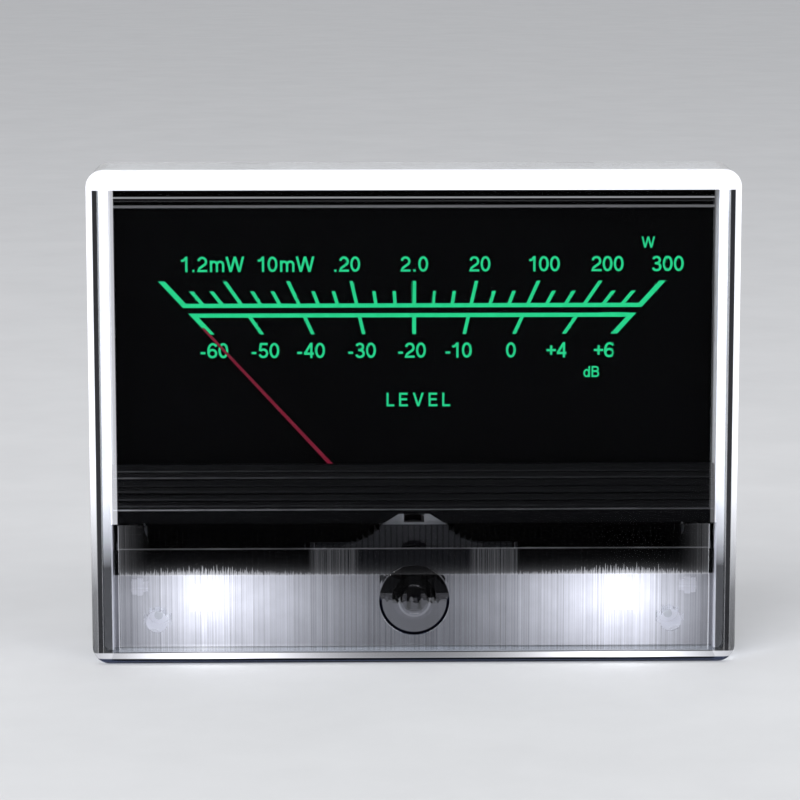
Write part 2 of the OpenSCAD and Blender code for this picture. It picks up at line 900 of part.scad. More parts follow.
module movement_frame() {
    coil_sweep_r = norm([former_r + former_t + winding_t, coil_w / 2]);
    rim_y = yoke_y + yoke_len / 2;
    frame_skin = 0.4;
    color([0.72, 0.74, 0.76])
    difference() {
        union() {
            slab(frame_y, frame_back)
                frame_outline();
            bar(yoke_r + frame_rim_gap + frame_rim_t, frame_back - over / 5, rim_y, 0, pivot_z);
        }
        bar(coil_sweep_r + clear_gap, frame_y - over, rim_y + over, 0, pivot_z);
        bar(yoke_r + frame_rim_gap, yoke_y, rim_y + over, 0, pivot_z);
        both_sides() {
            bar(screw_r + run_gap, frame_y - over, frame_back + over, frame_post_x, frame_post_z);
            bar(screw_r, frame_y - over, frame_back - frame_skin, leg_x, leg_z);
        }
    }
}

module yoke_ring() {
    color([0.5, 0.51, 0.53])
    difference() {
        tube(yoke_r, yoke_bore_r, yoke_y, yoke_y + yoke_len, 0, pivot_z);
        both_sides()
            bar(screw_r, yoke_y + yoke_len - screw_bite, yoke_y + yoke_len + over,
                rear_leg_x, pivot_z);
    }
}

module core_magnet() {
    color([0.35, 0.36, 0.38])
    bar(core_r, core_y, core_y + core_len, 0, pivot_z);
}

// Blocks above and below that hold the magnet in the middle of the yoke
module core_spacers() {
    half_angle = 18;
    inset = 2;
    half_w = core_r * sin(half_angle);
    color([0.8, 0.65, 0.3])
    difference() {
        intersection() {
            bar(yoke_bore_r, yoke_y + inset, yoke_y + yoke_len - inset, 0, pivot_z);
            slab(yoke_y, yoke_y + yoke_len)
                edges(-half_w, half_w, pivot_z - yoke_bore_r, pivot_z + yoke_bore_r);
        }
        bar(core_r, yoke_y, yoke_y + yoke_len, 0, pivot_z);
    }
}

module front_bridge() {
    window_w = 4.2;
    window_h = 2.2;
    window_edge = 0.4;
    bridge_low = leg_z - leg_r + 0.1;
    color([0.78, 0.8, 0.82])
    difference() {
        union() {
            slab(bridge_y, bridge_back)
                difference() {
                    edges(-bell_x, bell_x, bridge_low, bell_top);
                    for (side = [-1, 1]) {
                        translate([side * bell_x, skirt_top + bell_r])
                            circle(r = bell_r);
                    }
                    edges(-window_w / 2, window_w / 2, bell_top - window_h - window_edge,
                        bell_top - window_edge);
                }
            both_sides()
                bar(leg_r, bridge_back - over / 5, frame_y, leg_x, leg_z);
        }
        bar(jewel_r, bridge_y - over, bridge_back + over, 0, pivot_z);
        both_sides()
            bar(screw_r, bridge_y - over, frame_y + over, leg_x, leg_z);
    }
}

// Grey plate in front of the lever, carried on two pads of the bridge
module lever_cover() {
    pad_x = lever_hub_r + 2;
    pad_w = 3;
    pad_low = leg_z;
    color([0.3, 0.31, 0.33])
    difference() {
        union() {
            slab(baffle_y, baffle_back)
                edges(-frame_half_w, frame_half_w, reflector_top, baffle_top);
            both_sides()
                slab(baffle_back - over / 5, bridge_y)
                    edges(pad_x, pad_x + pad_w, pad_low, baffle_top - over);
        }
        bar(clip_r + clear_gap, baffle_y - over, baffle_back + over, 0, adjuster_z);
    }
}

module rear_bridge() {
    half_h = 2.4;
    foot_y = yoke_y + yoke_len;
    tab_low = pivot_z + tab_r;
    color([0.78, 0.8, 0.82])
    difference() {
        union() {
            slab(rear_bridge_y, rear_bridge_y + bridge_t) {
                edges(-rear_leg_x, rear_leg_x, pivot_z - half_h, pivot_z + half_h);
                for (side = [-1, 1]) {
                    translate([side * rear_leg_x, pivot_z])
                        circle(r = half_h);
                }
                edges(-tab_w / 2, tab_w / 2, pivot_z, tab_low + tab_w);
            }
            slab(rear_spring_y, rear_bridge_y + bridge_t)
                edges(-tab_w / 2, tab_w / 2, tab_low, tab_low + tab_w);
            both_sides()
                bar(rear_leg_r, foot_y, rear_bridge_y + over / 5, rear_leg_x, pivot_z);
        }
        bar(jewel_r, rear_bridge_y - over, rear_bridge_y + bridge_t + over, 0, pivot_z);
        both_sides()
            bar(screw_r, foot_y - over, rear_bridge_y + bridge_t + over, rear_leg_x, pivot_z);
    }
}

// Threaded bush with a slot at one end and a jewel cup at the other
module jewel_screw(cup_y, outer_y, way) {
    low_y = min(cup_y, outer_y);
    high_y = max(cup_y, outer_y);
    difference() {
        bar(jewel_r, low_y, high_y, 0, pivot_z);
        bar(pivot_pin_r + run_gap, min(cup_y - way * over, cup_y + way * jewel_cup),
            max(cup_y - way * over, cup_y + way * jewel_cup), 0, pivot_z);
        translate([0, outer_y, pivot_z])
            cube([2 * jewel_r + over, screw_slot[0], screw_slot[1]], center = true);
    }
}

module front_jewel_screw() {
    color([0.85, 0.7, 0.35])
    jewel_screw(bridge_back + jewel_gap, inside_y + jewel_front_gap, -1);
}

module rear_jewel_screw() {
    color([0.85, 0.7, 0.35])
    jewel_screw(rear_bridge_y - jewel_gap, rear_bridge_y - jewel_gap + rear_jewel_len, 1);
}

module jewel_lock_nuts() {
    color([0.85, 0.7, 0.35]) {
        lock_nut(lever_y - 0.2 - lock_nut_t);
        lock_nut(rear_bridge_y + bridge_t);
    }
}

// Thin hexagon nut round a jewel screw
module lock_nut(y) {
    difference() {
        translate([0, y + lock_nut_t, pivot_z])
            rotate([90, 0, 0])
                cylinder(r = lock_nut_r, h = lock_nut_t, $fn = 6);
        bar(jewel_r, y - over, y + lock_nut_t + over, 0, pivot_z);
    }
}

module bridge_screws() {
    rear_len = rear_bridge_y + bridge_t - yoke_y - yoke_len + screw_bite - 1;
    color([0.7, 0.71, 0.73])
    both_sides() {
        screw(leg_x, leg_z, bridge_y, frame_y - bridge_y + frame_t - 0.6);
        mirror([0, 1, 0])
            screw(rear_leg_x, pivot_z, -rear_bridge_y - bridge_t, rear_len);
    }
}

module frame_screws() {
    color([0.7, 0.71, 0.73])
    both_sides()
        screw(frame_post_x, frame_post_z, frame_y, frame_t + screw_bite - 0.5);
}

module trim_screws() {
    color([0.7, 0.71, 0.73])
    both_sides() {
        screw(dial_post_x, dial_post_z, dial_y, dial_t + screw_bite - 0.5);
        screw(hood_post_x, hood_post_z, hood_ear_y, hood_ear_t + screw_bite - 0.5);
        screw(reflector_post_x, reflector_post_z, reflector_y, reflector_t + screw_bite - 0.5);
    }
}

module cover_screws() {
    length = flange_t - cover_screw_head_t + screw_bite - 0.5;
    color([0.6, 0.61, 0.63])
    both_sides()
        difference() {
            union() {
                bar(cover_screw_head_r, -cover_screw_head_t, -0.1, cover_post_x, cover_post_z);
                bar(screw_r, -cover_screw_head_t - length, -0.2, cover_post_x, cover_post_z);
            }
            for (turn = [0, 90]) {
                translate([cover_post_x, 0, cover_post_z])
                    rotate([0, turn, 0])
                        cube(cross_slot, center = true);
            }
        }
}

module mounting_studs() {
    color([0.75, 0.76, 0.78])
    both_sides()
        for (z = [-1, 1]) {
            bar(stud_head_r, -flange_t - stud_head_t, -flange_t, stud_x, z * stud_z);
            bar(stud_shoulder_r, -flange_t - over / 5, 0, stud_x, z * stud_z);
            bar(stud_r, -over, stud_len, stud_x, z * stud_z);
        }
}

module terminal_posts() {
    color([0.85, 0.7, 0.35])
    both_sides() {
        translate([terminal_span / 2, tub_floor_y, terminal_z])
            rotate([90, 0, 0])
                cylinder(r = terminal_head_r, h = terminal_head_t, $fn = 6);
        bar(stud_r, tub_floor_y - over / 5, tub_depth + terminal_reach, terminal_span / 2,
            terminal_z);
    }
}

module terminal_washers() {
    color([0.78, 0.79, 0.8])
    both_sides()
        tube(washer_r, stud_r, tub_depth, tub_depth + washer_t, terminal_span / 2, terminal_z);
}

module solder_lugs() {
    eye_r = 0.6;
    tail_len = 9;
    tail_r = 1.3;
    y0 = tub_depth + washer_t;
    color([0.82, 0.82, 0.78])
    both_sides()
        slab(y0, y0 + lug_t)
            translate([terminal_span / 2, terminal_z])
                difference() {
                    union() {
                        circle(r = washer_r);
                        edges(-tail_r, tail_r, 0, tail_len);
                        translate([0, tail_len])
                            circle(r = tail_r);
                    }
                    circle(r = stud_r);
                    translate([0, tail_len])
                        circle(r = eye_r);
                }
}

module terminal_nuts() {
    y0 = tub_depth + washer_t + lug_t;
    color([0.85, 0.7, 0.35])
    both_sides()
        difference() {
            translate([terminal_span / 2, y0 + nut_t, terminal_z])
                rotate([90, 0, 0])
                    cylinder(r = nut_r, h = nut_t, $fn = 6);
            bar(stud_r, y0 - over, y0 + nut_t + over, terminal_span / 2, terminal_z);
        }
}

// Wires from the terminals down to the screws of the rear bridge
module movement_leads() {
    head_y = tub_floor_y - terminal_head_t;
    x = terminal_span / 2;
    // Where the lead lies on the head of the bridge screw, and where it turns up and back
    end = [rear_leg_x + 1, rear_bridge_y + bridge_t + screw_head_t + lead_r + 0.05, pivot_z + 1];
    rise = [x - 1, end[1] + 0.3, pivot_z + 0.75 * yoke_r];
    bend = [x, head_y - 2, terminal_z - 1];
    for (side = [0, 1]) {
        color(side == 0 ? [0.75, 0.1, 0.1] : [0.12, 0.12, 0.13])
        mirror([side, 0, 0])
            wire([end, rise, bend, [x, head_y - lead_r / 2, terminal_z]], lead_r);
    }
}

// Stops beside the pointer, just past its two limits
stop_r = 0.5;
stop_at = 20;
function stop_angle() = rest_angle + under_swing
    + asin((pointer_root_w / 2 + stop_r + 0.1) / stop_at);
function stop_x() = stop_at * sin(stop_angle());
function stop_z() = pivot_z + stop_at * cos(stop_angle());

module pointer_stops() {
    color([0.75, 0.76, 0.78])
    both_sides()
        bar(stop_r, pointer_y - 0.5, dial_back, stop_x(), stop_z());
}

module pointer() {
    root = boss_r - 0.3;
    color([0.8, 0.05, 0.12])
    swung()
        difference() {
            union() {
                slab(pointer_y, pointer_y + pointer_t)
                    polygon([
                        [-pointer_root_w / 2, root],
                        [-pointer_tip_w / 2, pointer_len - pointer_tip_w],
                        [0, pointer_len],
                        [pointer_tip_w / 2, pointer_len - pointer_tip_w],
                        [pointer_root_w / 2, root]
                    ]);
                bar(boss_r + 0.9, pointer_y, pointer_y + pointer_t);
            }
            bar(boss_r - 0.5, pointer_y - over, pointer_y + pointer_t + over);
        }
}

module pointer_boss() {
    flange_y = pointer_y + pointer_t;
    color([0.08, 0.08, 0.09])
    swung() {
        tube(boss_r - 0.5, spindle_r, boss_y, flange_y + over / 5);
        tube(boss_r, spindle_r, flange_y, boss_y + boss_len);
    }
}

// Three wires at right angles to and behind the pointer, which carry the weights
module balance_cross() {
    color([0.8, 0.8, 0.8])
    swung()
        for (arm = arms()) {
            translate([0, balance_y + balance_wire_r, 0])
                rotate([0, arm[0], 0])
                    translate([0, 0, boss_r])
                        cylinder(r = balance_wire_r, h = arm[1] + arm[2] + arm_end_gap - boss_r);
        }
}

// Angle, weight position and weight length of each arm
function arms() = [
    [180, tail_weight_at, tail_weight_len],
    [90, side_weight_at, side_weight_len],
    [-90, side_weight_at, side_weight_len]
];

module balance_weights() {
    color([0.85, 0.7, 0.35])
    swung()
        for (arm = arms()) {
            translate([0, balance_y + balance_wire_r, 0])
                rotate([0, arm[0], 0])
                    translate([0, 0, arm[1]])
                        difference() {
                            cylinder(r = weight_r, h = arm[2]);
                            translate([0, 0, -over])
                                cylinder(r = balance_wire_r, h = arm[2] + 2 * over);
                        }
        }
}

// Flat rectangular ring round the magnet, in the plane of X and Y
module coil_ring(grow, thick) {
    half_in = former_r + grow;
    y_in = former_y + former_t - grow;
    length = former_len - 2 * former_t + 2 * grow;
    swung()
        translate([0, 0, -coil_w / 2])
            linear_extrude(height = coil_w)
                difference() {
                    translate([-half_in - thick, y_in - thick])
                        square([2 * (half_in + thick), length + 2 * thick]);
                    translate([-half_in, y_in])
                        square([2 * half_in, length]);
                }
}

module coil_former() {
    color([0.8, 0.81, 0.83])
    coil_ring(0, former_t);
}

module coil_winding() {
    color([0.7, 0.35, 0.15])
    coil_ring(former_t, winding_t);
}

// Base on the coil, spindle, hairspring collet and the pin that runs in the jewel
module pivot(coil_end, collet_y, cup_y, way) {
    pin_tip = cup_y + way * (jewel_cup - pin_play);
    shoulder = cup_y - way * pin_play;
    swung() {
        bar(base_r, min(coil_end, coil_end + way * base_t), max(coil_end, coil_end + way * base_t));
        bar(spindle_r, min(coil_end, shoulder), max(coil_end, shoulder));
        bar(collet_r, collet_y, collet_y + spring_h);
        bar(pivot_pin_r, min(coil_end, pin_tip), max(coil_end, pin_tip));
    }
}

module front_pivot() {
    color([0.6, 0.62, 0.65])
    pivot(coil_y, front_spring_y, bridge_back + jewel_gap, -1);
}

module rear_pivot() {
    color([0.6, 0.62, 0.65])
    pivot(coil_back, rear_spring_y, rear_bridge_y - jewel_gap, 1);
}

// Flat spiral hairspring: its centre line, from the collet out to the tab
strip_t = 0.14;
spiral_step = 10;
full_turn = 360;
spiral_end = full_turn * spring_turns;
function spiral_r(a) = collet_r + strip_t / 2 + 0.02
    + (spring_r - strip_t - collet_r) * a / spiral_end;
function spiral(offset_r, end_angle) = [
    for (a = [0 : spiral_step : spiral_end])
        (spiral_r(a) + offset_r) * [cos(a + end_angle), sin(a + end_angle)]
];
function backward(list) = [for (i = [len(list) - 1 : -1 : 0]) list[i]];

// Least gap between neighbouring turns, measured on the points of the strip
function turn_gaps() = [
    for (a = [0 : spiral_step : spiral_end - full_turn])
        norm(spiral(-strip_t / 2, 0)[(a + full_turn) / spiral_step]
            - spiral(strip_t / 2, 0)[a / spiral_step])
];
echo(least_hairspring_gap = min(turn_gaps()));

module hairspring(y, end_angle) {
    color([0.75, 0.6, 0.35])
    translate([0, 0, pivot_z])
        slab(y, y + spring_h)
            polygon(concat(spiral(strip_t / 2, end_angle),
                backward(spiral(-strip_t / 2, end_angle))));
}

module front_hairspring() {
    hairspring(front_spring_y, -90);
}

module rear_hairspring() {
    hairspring(rear_spring_y, 90);
}

module zero_lever() {
    slot_half_w = pin_r + fork_gap;
    arm_low = pin_z - pin_r - 1.4;
    slot_top = adjuster_z - pin_offset / 2 + pin_r;
    tab_z = pivot_z - tab_r;
    color([0.14, 0.14, 0.15])
    difference() {
        union() {
            slab(lever_y, lever_y + lever_t) {
                translate([0, pivot_z])
                    circle(r = lever_hub_r);
                edges(-lever_arm_w / 2, lever_arm_w / 2, arm_low, pivot_z - jewel_r - 0.4);
            }
            slab(lever_y, front_spring_y + spring_h)
                edges(-tab_w / 2, tab_w / 2, tab_z - tab_w, tab_z);
        }
        bar(jewel_r + run_gap, lever_y - over, lever_y + lever_t + over, 0, pivot_z);
        slab(lever_y - over, lever_y + lever_t + over)
            edges(-slot_half_w, slot_half_w, arm_low - over, slot_top);
    }
}

module zero_adjuster() {
    dome_y = head_front + head_dome_r;
    rim_y = head_back;
    color([0.85, 0.9, 0.95, 0.45])
    difference() {
        union() {
            intersection() {
                bar(adjuster_r, head_front - over, rim_y, 0, adjuster_z);
                translate([0, dome_y, adjuster_z])
                    rotate([90, 0, 0])
                        sphere(r = head_dome_r, $fn = 128);
            }
            bar(stem_r, head_back - over / 5, stem_end, 0, adjuster_z);
            bar(pin_r, stem_end - over / 5, pin_end, 0, pin_z);
        }
        translate([0, head_front, adjuster_z])
            cube([slot_w, 2 * slot_d, slot_l], center = true);
    }
}

module adjuster_clip() {
    color([0.75, 0.76, 0.78])
    difference() {
        tube(clip_r, stem_r, clip_y, clip_y + clip_t, 0, adjuster_z);
        slab(clip_y - over, clip_y + clip_t + over)
            edges(-1.2, 1.2, adjuster_z, adjuster_z + clip_r + over);
    }
}

front_cover();
rear_case();
dial_plate();
scale_marks();
light_guide();
movement_hood();
lamp_reflector();
light_baffle();
lamp_board_left();
lamp_board_right();
lamp_left();
lamp_right();
lamp_resistors();
lamp_header();
lamp_leads();
movement_frame();
yoke_ring();
core_magnet();
core_spacers();
front_bridge();
rear_bridge();
lever_cover();
front_jewel_screw();
rear_jewel_screw();
jewel_lock_nuts();
bridge_screws();
frame_screws();
trim_screws();
cover_screws();
mounting_studs();
terminal_posts();
terminal_washers();
solder_lugs();
terminal_nuts();
movement_leads();
pointer_stops();
pointer();
pointer_boss();
balance_cross();
balance_weights();
coil_former();
coil_winding();
front_pivot();
rear_pivot();
front_hairspring();
rear_hairspring();
zero_lever();
zero_adjuster();
adjuster_clip();
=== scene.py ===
"""Looks of a lit analog level meter for a panel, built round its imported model."""

import json
import logging
import math
from dataclasses import dataclass, field
from enum import Enum

import bpy
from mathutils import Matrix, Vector


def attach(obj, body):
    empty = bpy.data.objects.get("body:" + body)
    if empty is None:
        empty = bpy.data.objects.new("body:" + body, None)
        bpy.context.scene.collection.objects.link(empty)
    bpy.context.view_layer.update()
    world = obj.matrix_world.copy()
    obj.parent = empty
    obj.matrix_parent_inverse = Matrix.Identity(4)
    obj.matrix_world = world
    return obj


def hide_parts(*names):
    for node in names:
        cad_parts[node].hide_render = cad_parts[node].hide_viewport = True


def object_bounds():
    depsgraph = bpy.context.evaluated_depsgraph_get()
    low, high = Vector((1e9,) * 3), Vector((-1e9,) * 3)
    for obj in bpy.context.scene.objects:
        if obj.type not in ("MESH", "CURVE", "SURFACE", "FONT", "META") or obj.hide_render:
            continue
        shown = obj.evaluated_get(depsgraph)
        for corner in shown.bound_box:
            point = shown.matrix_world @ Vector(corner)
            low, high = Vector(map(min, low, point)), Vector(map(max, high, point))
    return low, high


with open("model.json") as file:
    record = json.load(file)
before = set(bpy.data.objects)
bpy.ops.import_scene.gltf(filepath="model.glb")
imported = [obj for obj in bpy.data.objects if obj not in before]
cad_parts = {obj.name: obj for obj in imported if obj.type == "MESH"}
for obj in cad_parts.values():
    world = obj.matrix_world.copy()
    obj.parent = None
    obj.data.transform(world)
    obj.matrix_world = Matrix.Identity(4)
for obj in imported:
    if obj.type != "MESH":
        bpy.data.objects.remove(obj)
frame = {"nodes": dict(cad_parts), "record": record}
CAD_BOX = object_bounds()

LOG = logging.getLogger("meter")
MM = 0.001
Socket = bpy.types.NodeSocket
Colour = tuple[float, float, float]
Pair = tuple[float, float]
Point = Pair
LAMP_TINT: Colour = (0.88, 0.89, 1.0)
DUST: Colour = (0.55, 0.54, 0.52)
NUMBER, VECTOR = "NodeSocketFloat", "NodeSocketVector"


class Way(Enum):
    """Direction of the fine lines that a tool leaves on a metal face."""

    TURNED = "turned about Y"
    ACROSS = "along X"
    UPRIGHT = "along Z"


class Graph:
    """Places and joins the nodes of one node tree."""

    def __init__(self, tree: bpy.types.NodeTree) -> None:
        """Keeps the tree.

        Args:
            tree: the node tree to fill.
        """
        self.tree = tree

    def node(self, kind: str, inputs: dict | None = None, **settings: object) -> bpy.types.Node:
        """Adds one node.

        Args:
            kind: the node's class name.
            inputs: a value or an output socket for each named or numbered input.
            settings: the node's own properties.

        Returns:
            The new node.
        """
        made = self.tree.nodes.new(kind)
        for name, value in settings.items():
            setattr(made, name, value)
        for key, value in (inputs or {}).items():
            self.feed(made.inputs[key], value)
        return made

    def feed(self, socket: Socket, value: object) -> None:
        """Joins an input to an output socket, or sets its plain value.

        Args:
            socket: the input.
            value: an output socket, a number, a colour or a vector.
        """
        if isinstance(value, Socket):
            self.tree.links.new(value, socket)
        elif isinstance(value, tuple) and socket.type == "RGBA":
            socket.default_value = (*value, 1.0)[:4]
        else:
            socket.default_value = value

    def math(self, operation: str, a: object, b: object = 0.0, clamp: bool = False) -> Socket:
        """One sum on numbers.

        Args:
            operation: the Math node's operation.
            a: first number or socket.
            b: second number or socket.
            clamp: whether the result stays between 0 and 1.

        Returns:
            The result's socket.
        """
        return self.node("ShaderNodeMath", {0: a, 1: b}, operation=operation, use_clamp=clamp).outputs[0]

    def vector(self, operation: str, a: object, b: object = (0.0, 0.0, 0.0)) -> Socket:
        """One sum on vectors.

        Args:
            operation: the Vector Math node's operation.
            a: first vector or socket.
            b: second vector or socket.

        Returns:
            The result's socket: a number for lengths and products, and otherwise a vector.
        """
        made = self.node("ShaderNodeVectorMath", {0: a, 1: b}, operation=operation)
        return made.outputs["Value" if operation in ("LENGTH", "DISTANCE", "DOT_PRODUCT") else "Vector"]

    def spread(self, value: Socket, low: float, high: float, to: tuple[float, float] = (0.0, 1.0)) -> Socket:
        """Stretches a range of values to another, and holds it there.

        Args:
            value: the incoming value.
            low: where the range starts.
            high: where it ends.
            to: the values at its start and end.

        Returns:
            The new value's socket.
        """
        return self.node("ShaderNodeMapRange", {0: value, 1: low, 2: high, 3: to[0], 4: to[1]}).outputs[0]

    def over(self, value: Socket, edge: float, soft: float = 0.08 * MM) -> Socket:
        """Masks what lies above an edge.

        Args:
            value: the incoming value.
            edge: where the mask turns from 0 to 1.
            soft: half the width of the turn.

        Returns:
            The mask's socket.
        """
        return self.spread(value, edge - soft, edge + soft)

    def band(self, value: Socket, low: float, high: float, soft: float = 0.08 * MM) -> Socket:
        """Masks what lies between two edges.

        Args:
            value: the incoming value.
            low: the lower edge.
            high: the upper edge.
            soft: half the width of each turn.

        Returns:
            The mask's socket.
        """
        return self.product(self.over(value, low, soft), self.spread(value, high + soft, high - soft))

    def product(self, *values: object) -> Socket:
        """Multiplies numbers.

        Args:
            values: the numbers or sockets.

        Returns:
            The product's socket.
        """
        made = values[0]
        for value in values[1:]:
            made = self.math("MULTIPLY", made, value)
        return made

    def total(self, *values: object) -> Socket:
        """Adds numbers.

        Args:
            values: the numbers or sockets.

        Returns:
            The sum's socket.
        """
        made = values[0]
        for value in values[1:]:
            made = self.math("ADD", made, value)
        return made

    def decay(self, distance: Socket, reach: float) -> Socket:
        """A strength that falls by e over each reach, and starts at 1.

        Args:
            distance: how far away, in metres. Below 0 the strength stays 1.
            reach: the distance over which it falls by e.

        Returns:
            The strength's socket.
        """
        return self.math("MINIMUM", self.math("EXPONENT", self.math("MULTIPLY", distance, -1 / reach)), 1.0)

    def axes(self, place: Socket) -> tuple[Socket, Socket, Socket]:
        """The X, Y and Z of a place.

        Args:
            place: the place.

        Returns:
            Its three parts.
        """
        return tuple(self.node("ShaderNodeSeparateXYZ", {0: place}).outputs)

    def mix(self, factor: object, a: object, b: object, blend: str = "MIX") -> Socket:
        """Mixes two colours.

        Args:
            factor: share of the second colour.
            a: first colour or socket.
            b: second colour or socket.
            blend: the Mix node's blend type.

        Returns:
            The mixed colour's socket.
        """
        made = self.node("ShaderNodeMix", data_type="RGBA", blend_type=blend)
        for key, value in ((0, factor), (6, a), (7, b)):
            self.feed(made.inputs[key], value)
        return made.outputs[2]

    def noise(self, place: Socket, scale: float, detail: float = 3.0, rough: float = 0.55) -> Socket:
        """Cloudy noise.

        Args:
            place: where it is read, in metres.
            scale: clouds per metre.
            detail: how many finer layers it has.
            rough: the strength of the finer layers.

        Returns:
            The noise value's socket.
        """
        inputs = {"Vector": place, "Scale": scale, "Detail": detail, "Roughness": rough}
        return self.node("ShaderNodeTexNoise", inputs).outputs["Fac"]


class Effects:
    """The shared effects, each a node group that is built once."""

    def __init__(self) -> None:
        """Starts with no groups."""
        self.made: dict[str, bpy.types.NodeTree] = {}

    def start(
        self, name: str, inputs: dict[str, float | None], outputs: tuple[str, ...],
    ) -> tuple[Graph, bpy.types.Node, bpy.types.Node]:
        """Opens a new group.

        Args:
            name: the group's name.
            inputs: the usual value of each number, and nothing for a vector.
            outputs: the names of the numbers that it puts out.

        Returns:
            The group's graph, its input node and its output node.
        """
        tree = bpy.data.node_groups.new(name, "ShaderNodeTree")
        for label, usual in inputs.items():
            kind = VECTOR if usual is None else NUMBER
            socket = tree.interface.new_socket(label, in_out="INPUT", socket_type=kind)
            if usual is not None:
                socket.default_value = usual
        for label in outputs:
            tree.interface.new_socket(label, in_out="OUTPUT", socket_type=NUMBER)
        self.made[name] = tree
        graph = Graph(tree)
        return graph, graph.node("NodeGroupInput"), graph.node("NodeGroupOutput")

    def moulding(self) -> bpy.types.NodeTree:
        """Fine grain, flow clouds and rub marks of a moulded face.

        Returns:
            The group, with Shade, Gloss and Height outputs.
        """
        if "moulding" in self.made:
            return self.made["moulding"]
        inputs = {"Place": None, "Grain": 2500.0, "Clouds": 60.0, "Rubbed": 0.3}
        graph, given, out = self.start("moulding", inputs, ("Shade", "Gloss", "Height"))
        place = given.outputs["Place"]
        grain = graph.noise(place, 1, 4.0, 0.6)
        self.rescale(graph, grain, given.outputs["Grain"])
        clouds = graph.noise(place, 1, 3.0, 0.5)
        self.rescale(graph, clouds, given.outputs["Clouds"])
        rubs = graph.noise(graph.vector("MULTIPLY", place, (1.0, 1.0, 0.12)), 700, 2.0, 0.5)
        rubbed = graph.math("MULTIPLY", graph.spread(rubs, 0.58, 0.74), given.outputs["Rubbed"])
        tone = graph.spread(clouds, 0.3, 0.7, (-1.0, 1.0))
        gloss = graph.spread(clouds, 0.35, 0.7, (-0.5, 0.5))
        graph.feed(out.inputs["Shade"], graph.total(tone, graph.product(rubbed, 0.5)))
        graph.feed(out.inputs["Gloss"], graph.math("SUBTRACT", gloss, rubbed))
        graph.feed(out.inputs["Height"], graph.total(grain, graph.product(rubbed, 0.8)))
        return self.made["moulding"]

    def tooling(self) -> bpy.types.NodeTree:
        """Fine tool lines of a turned or brushed metal face, with tarnish.

        Returns:
            The group, with Lines, Tarnish and Height outputs.
        """
        if "tooling" in self.made:
            return self.made["tooling"]
        inputs = {"Place": None, "Stretch": None, "Lines": 6000.0}
        graph, given, out = self.start("tooling", inputs, ("Lines", "Tarnish", "Height"))
        place = given.outputs["Place"]
        lines = graph.noise(graph.vector("MULTIPLY", place, given.outputs["Stretch"]), 1, 3.0, 0.7)
        self.rescale(graph, lines, given.outputs["Lines"])
        stains = graph.noise(place, 320, 4.0, 0.6)
        graph.feed(out.inputs["Lines"], graph.spread(lines, 0.3, 0.7, (-1.0, 1.0)))
        graph.feed(out.inputs["Tarnish"], graph.spread(stains, 0.45, 0.75))
        graph.feed(out.inputs["Height"], lines)
        return self.made["tooling"]

    def edges(self) -> bpy.types.NodeTree:
        """Where an outer edge is worn.

        Returns:
            The group, with a Mask output.
        """
        if "edges" in self.made:
            return self.made["edges"]
        graph, given, out = self.start("edges", {"Place": None, "Reach": 0.2 * MM}, ("Mask",))
        rounded = graph.node("ShaderNodeBevel", {"Radius": given.outputs["Reach"]}, samples=4).outputs[0]
        true = graph.node("ShaderNodeNewGeometry").outputs["True Normal"]
        turned = graph.spread(graph.vector("DOT_PRODUCT", rounded, true), 0.985, 0.8)
        broken = graph.spread(graph.noise(given.outputs["Place"], 900, 3.0, 0.6), 0.42, 0.6)
        graph.feed(out.inputs["Mask"], graph.math("MULTIPLY", turned, broken))
        return self.made["edges"]

    def dust(self) -> bpy.types.NodeTree:
        """Dust that settles on faces that look up.

        Returns:
            The group, with a Mask output.
        """
        if "dust" in self.made:
            return self.made["dust"]
        graph, given, out = self.start("dust", {"Place": None, "Amount": 0.2}, ("Mask",))
        normal = graph.node("ShaderNodeNewGeometry").outputs["Normal"]
        up = graph.spread(graph.vector("DOT_PRODUCT", normal, (0.0, 0.0, 1.0)), 0.2, 1.0, (0.15, 1.0))
        specks = graph.spread(graph.noise(given.outputs["Place"], 2600, 2.0, 0.6), 0.55, 0.72)
        film = graph.spread(graph.noise(given.outputs["Place"], 130, 3.0, 0.5), 0.4, 0.7, (0.2, 0.7))
        settled = graph.math("MAXIMUM", specks, film)
        graph.feed(out.inputs["Mask"], graph.product(up, given.outputs["Amount"], settled))
        return self.made["dust"]

    @staticmethod
    def rescale(graph: Graph, value: Socket, scale: Socket) -> None:
        """Feeds a noise node's scale from a group input.

        Args:
            graph: the group's graph.
            value: the noise node's output.
            scale: the socket that gives clouds per metre.
        """
        graph.feed(value.node.inputs["Scale"], scale)


EFFECTS = Effects()


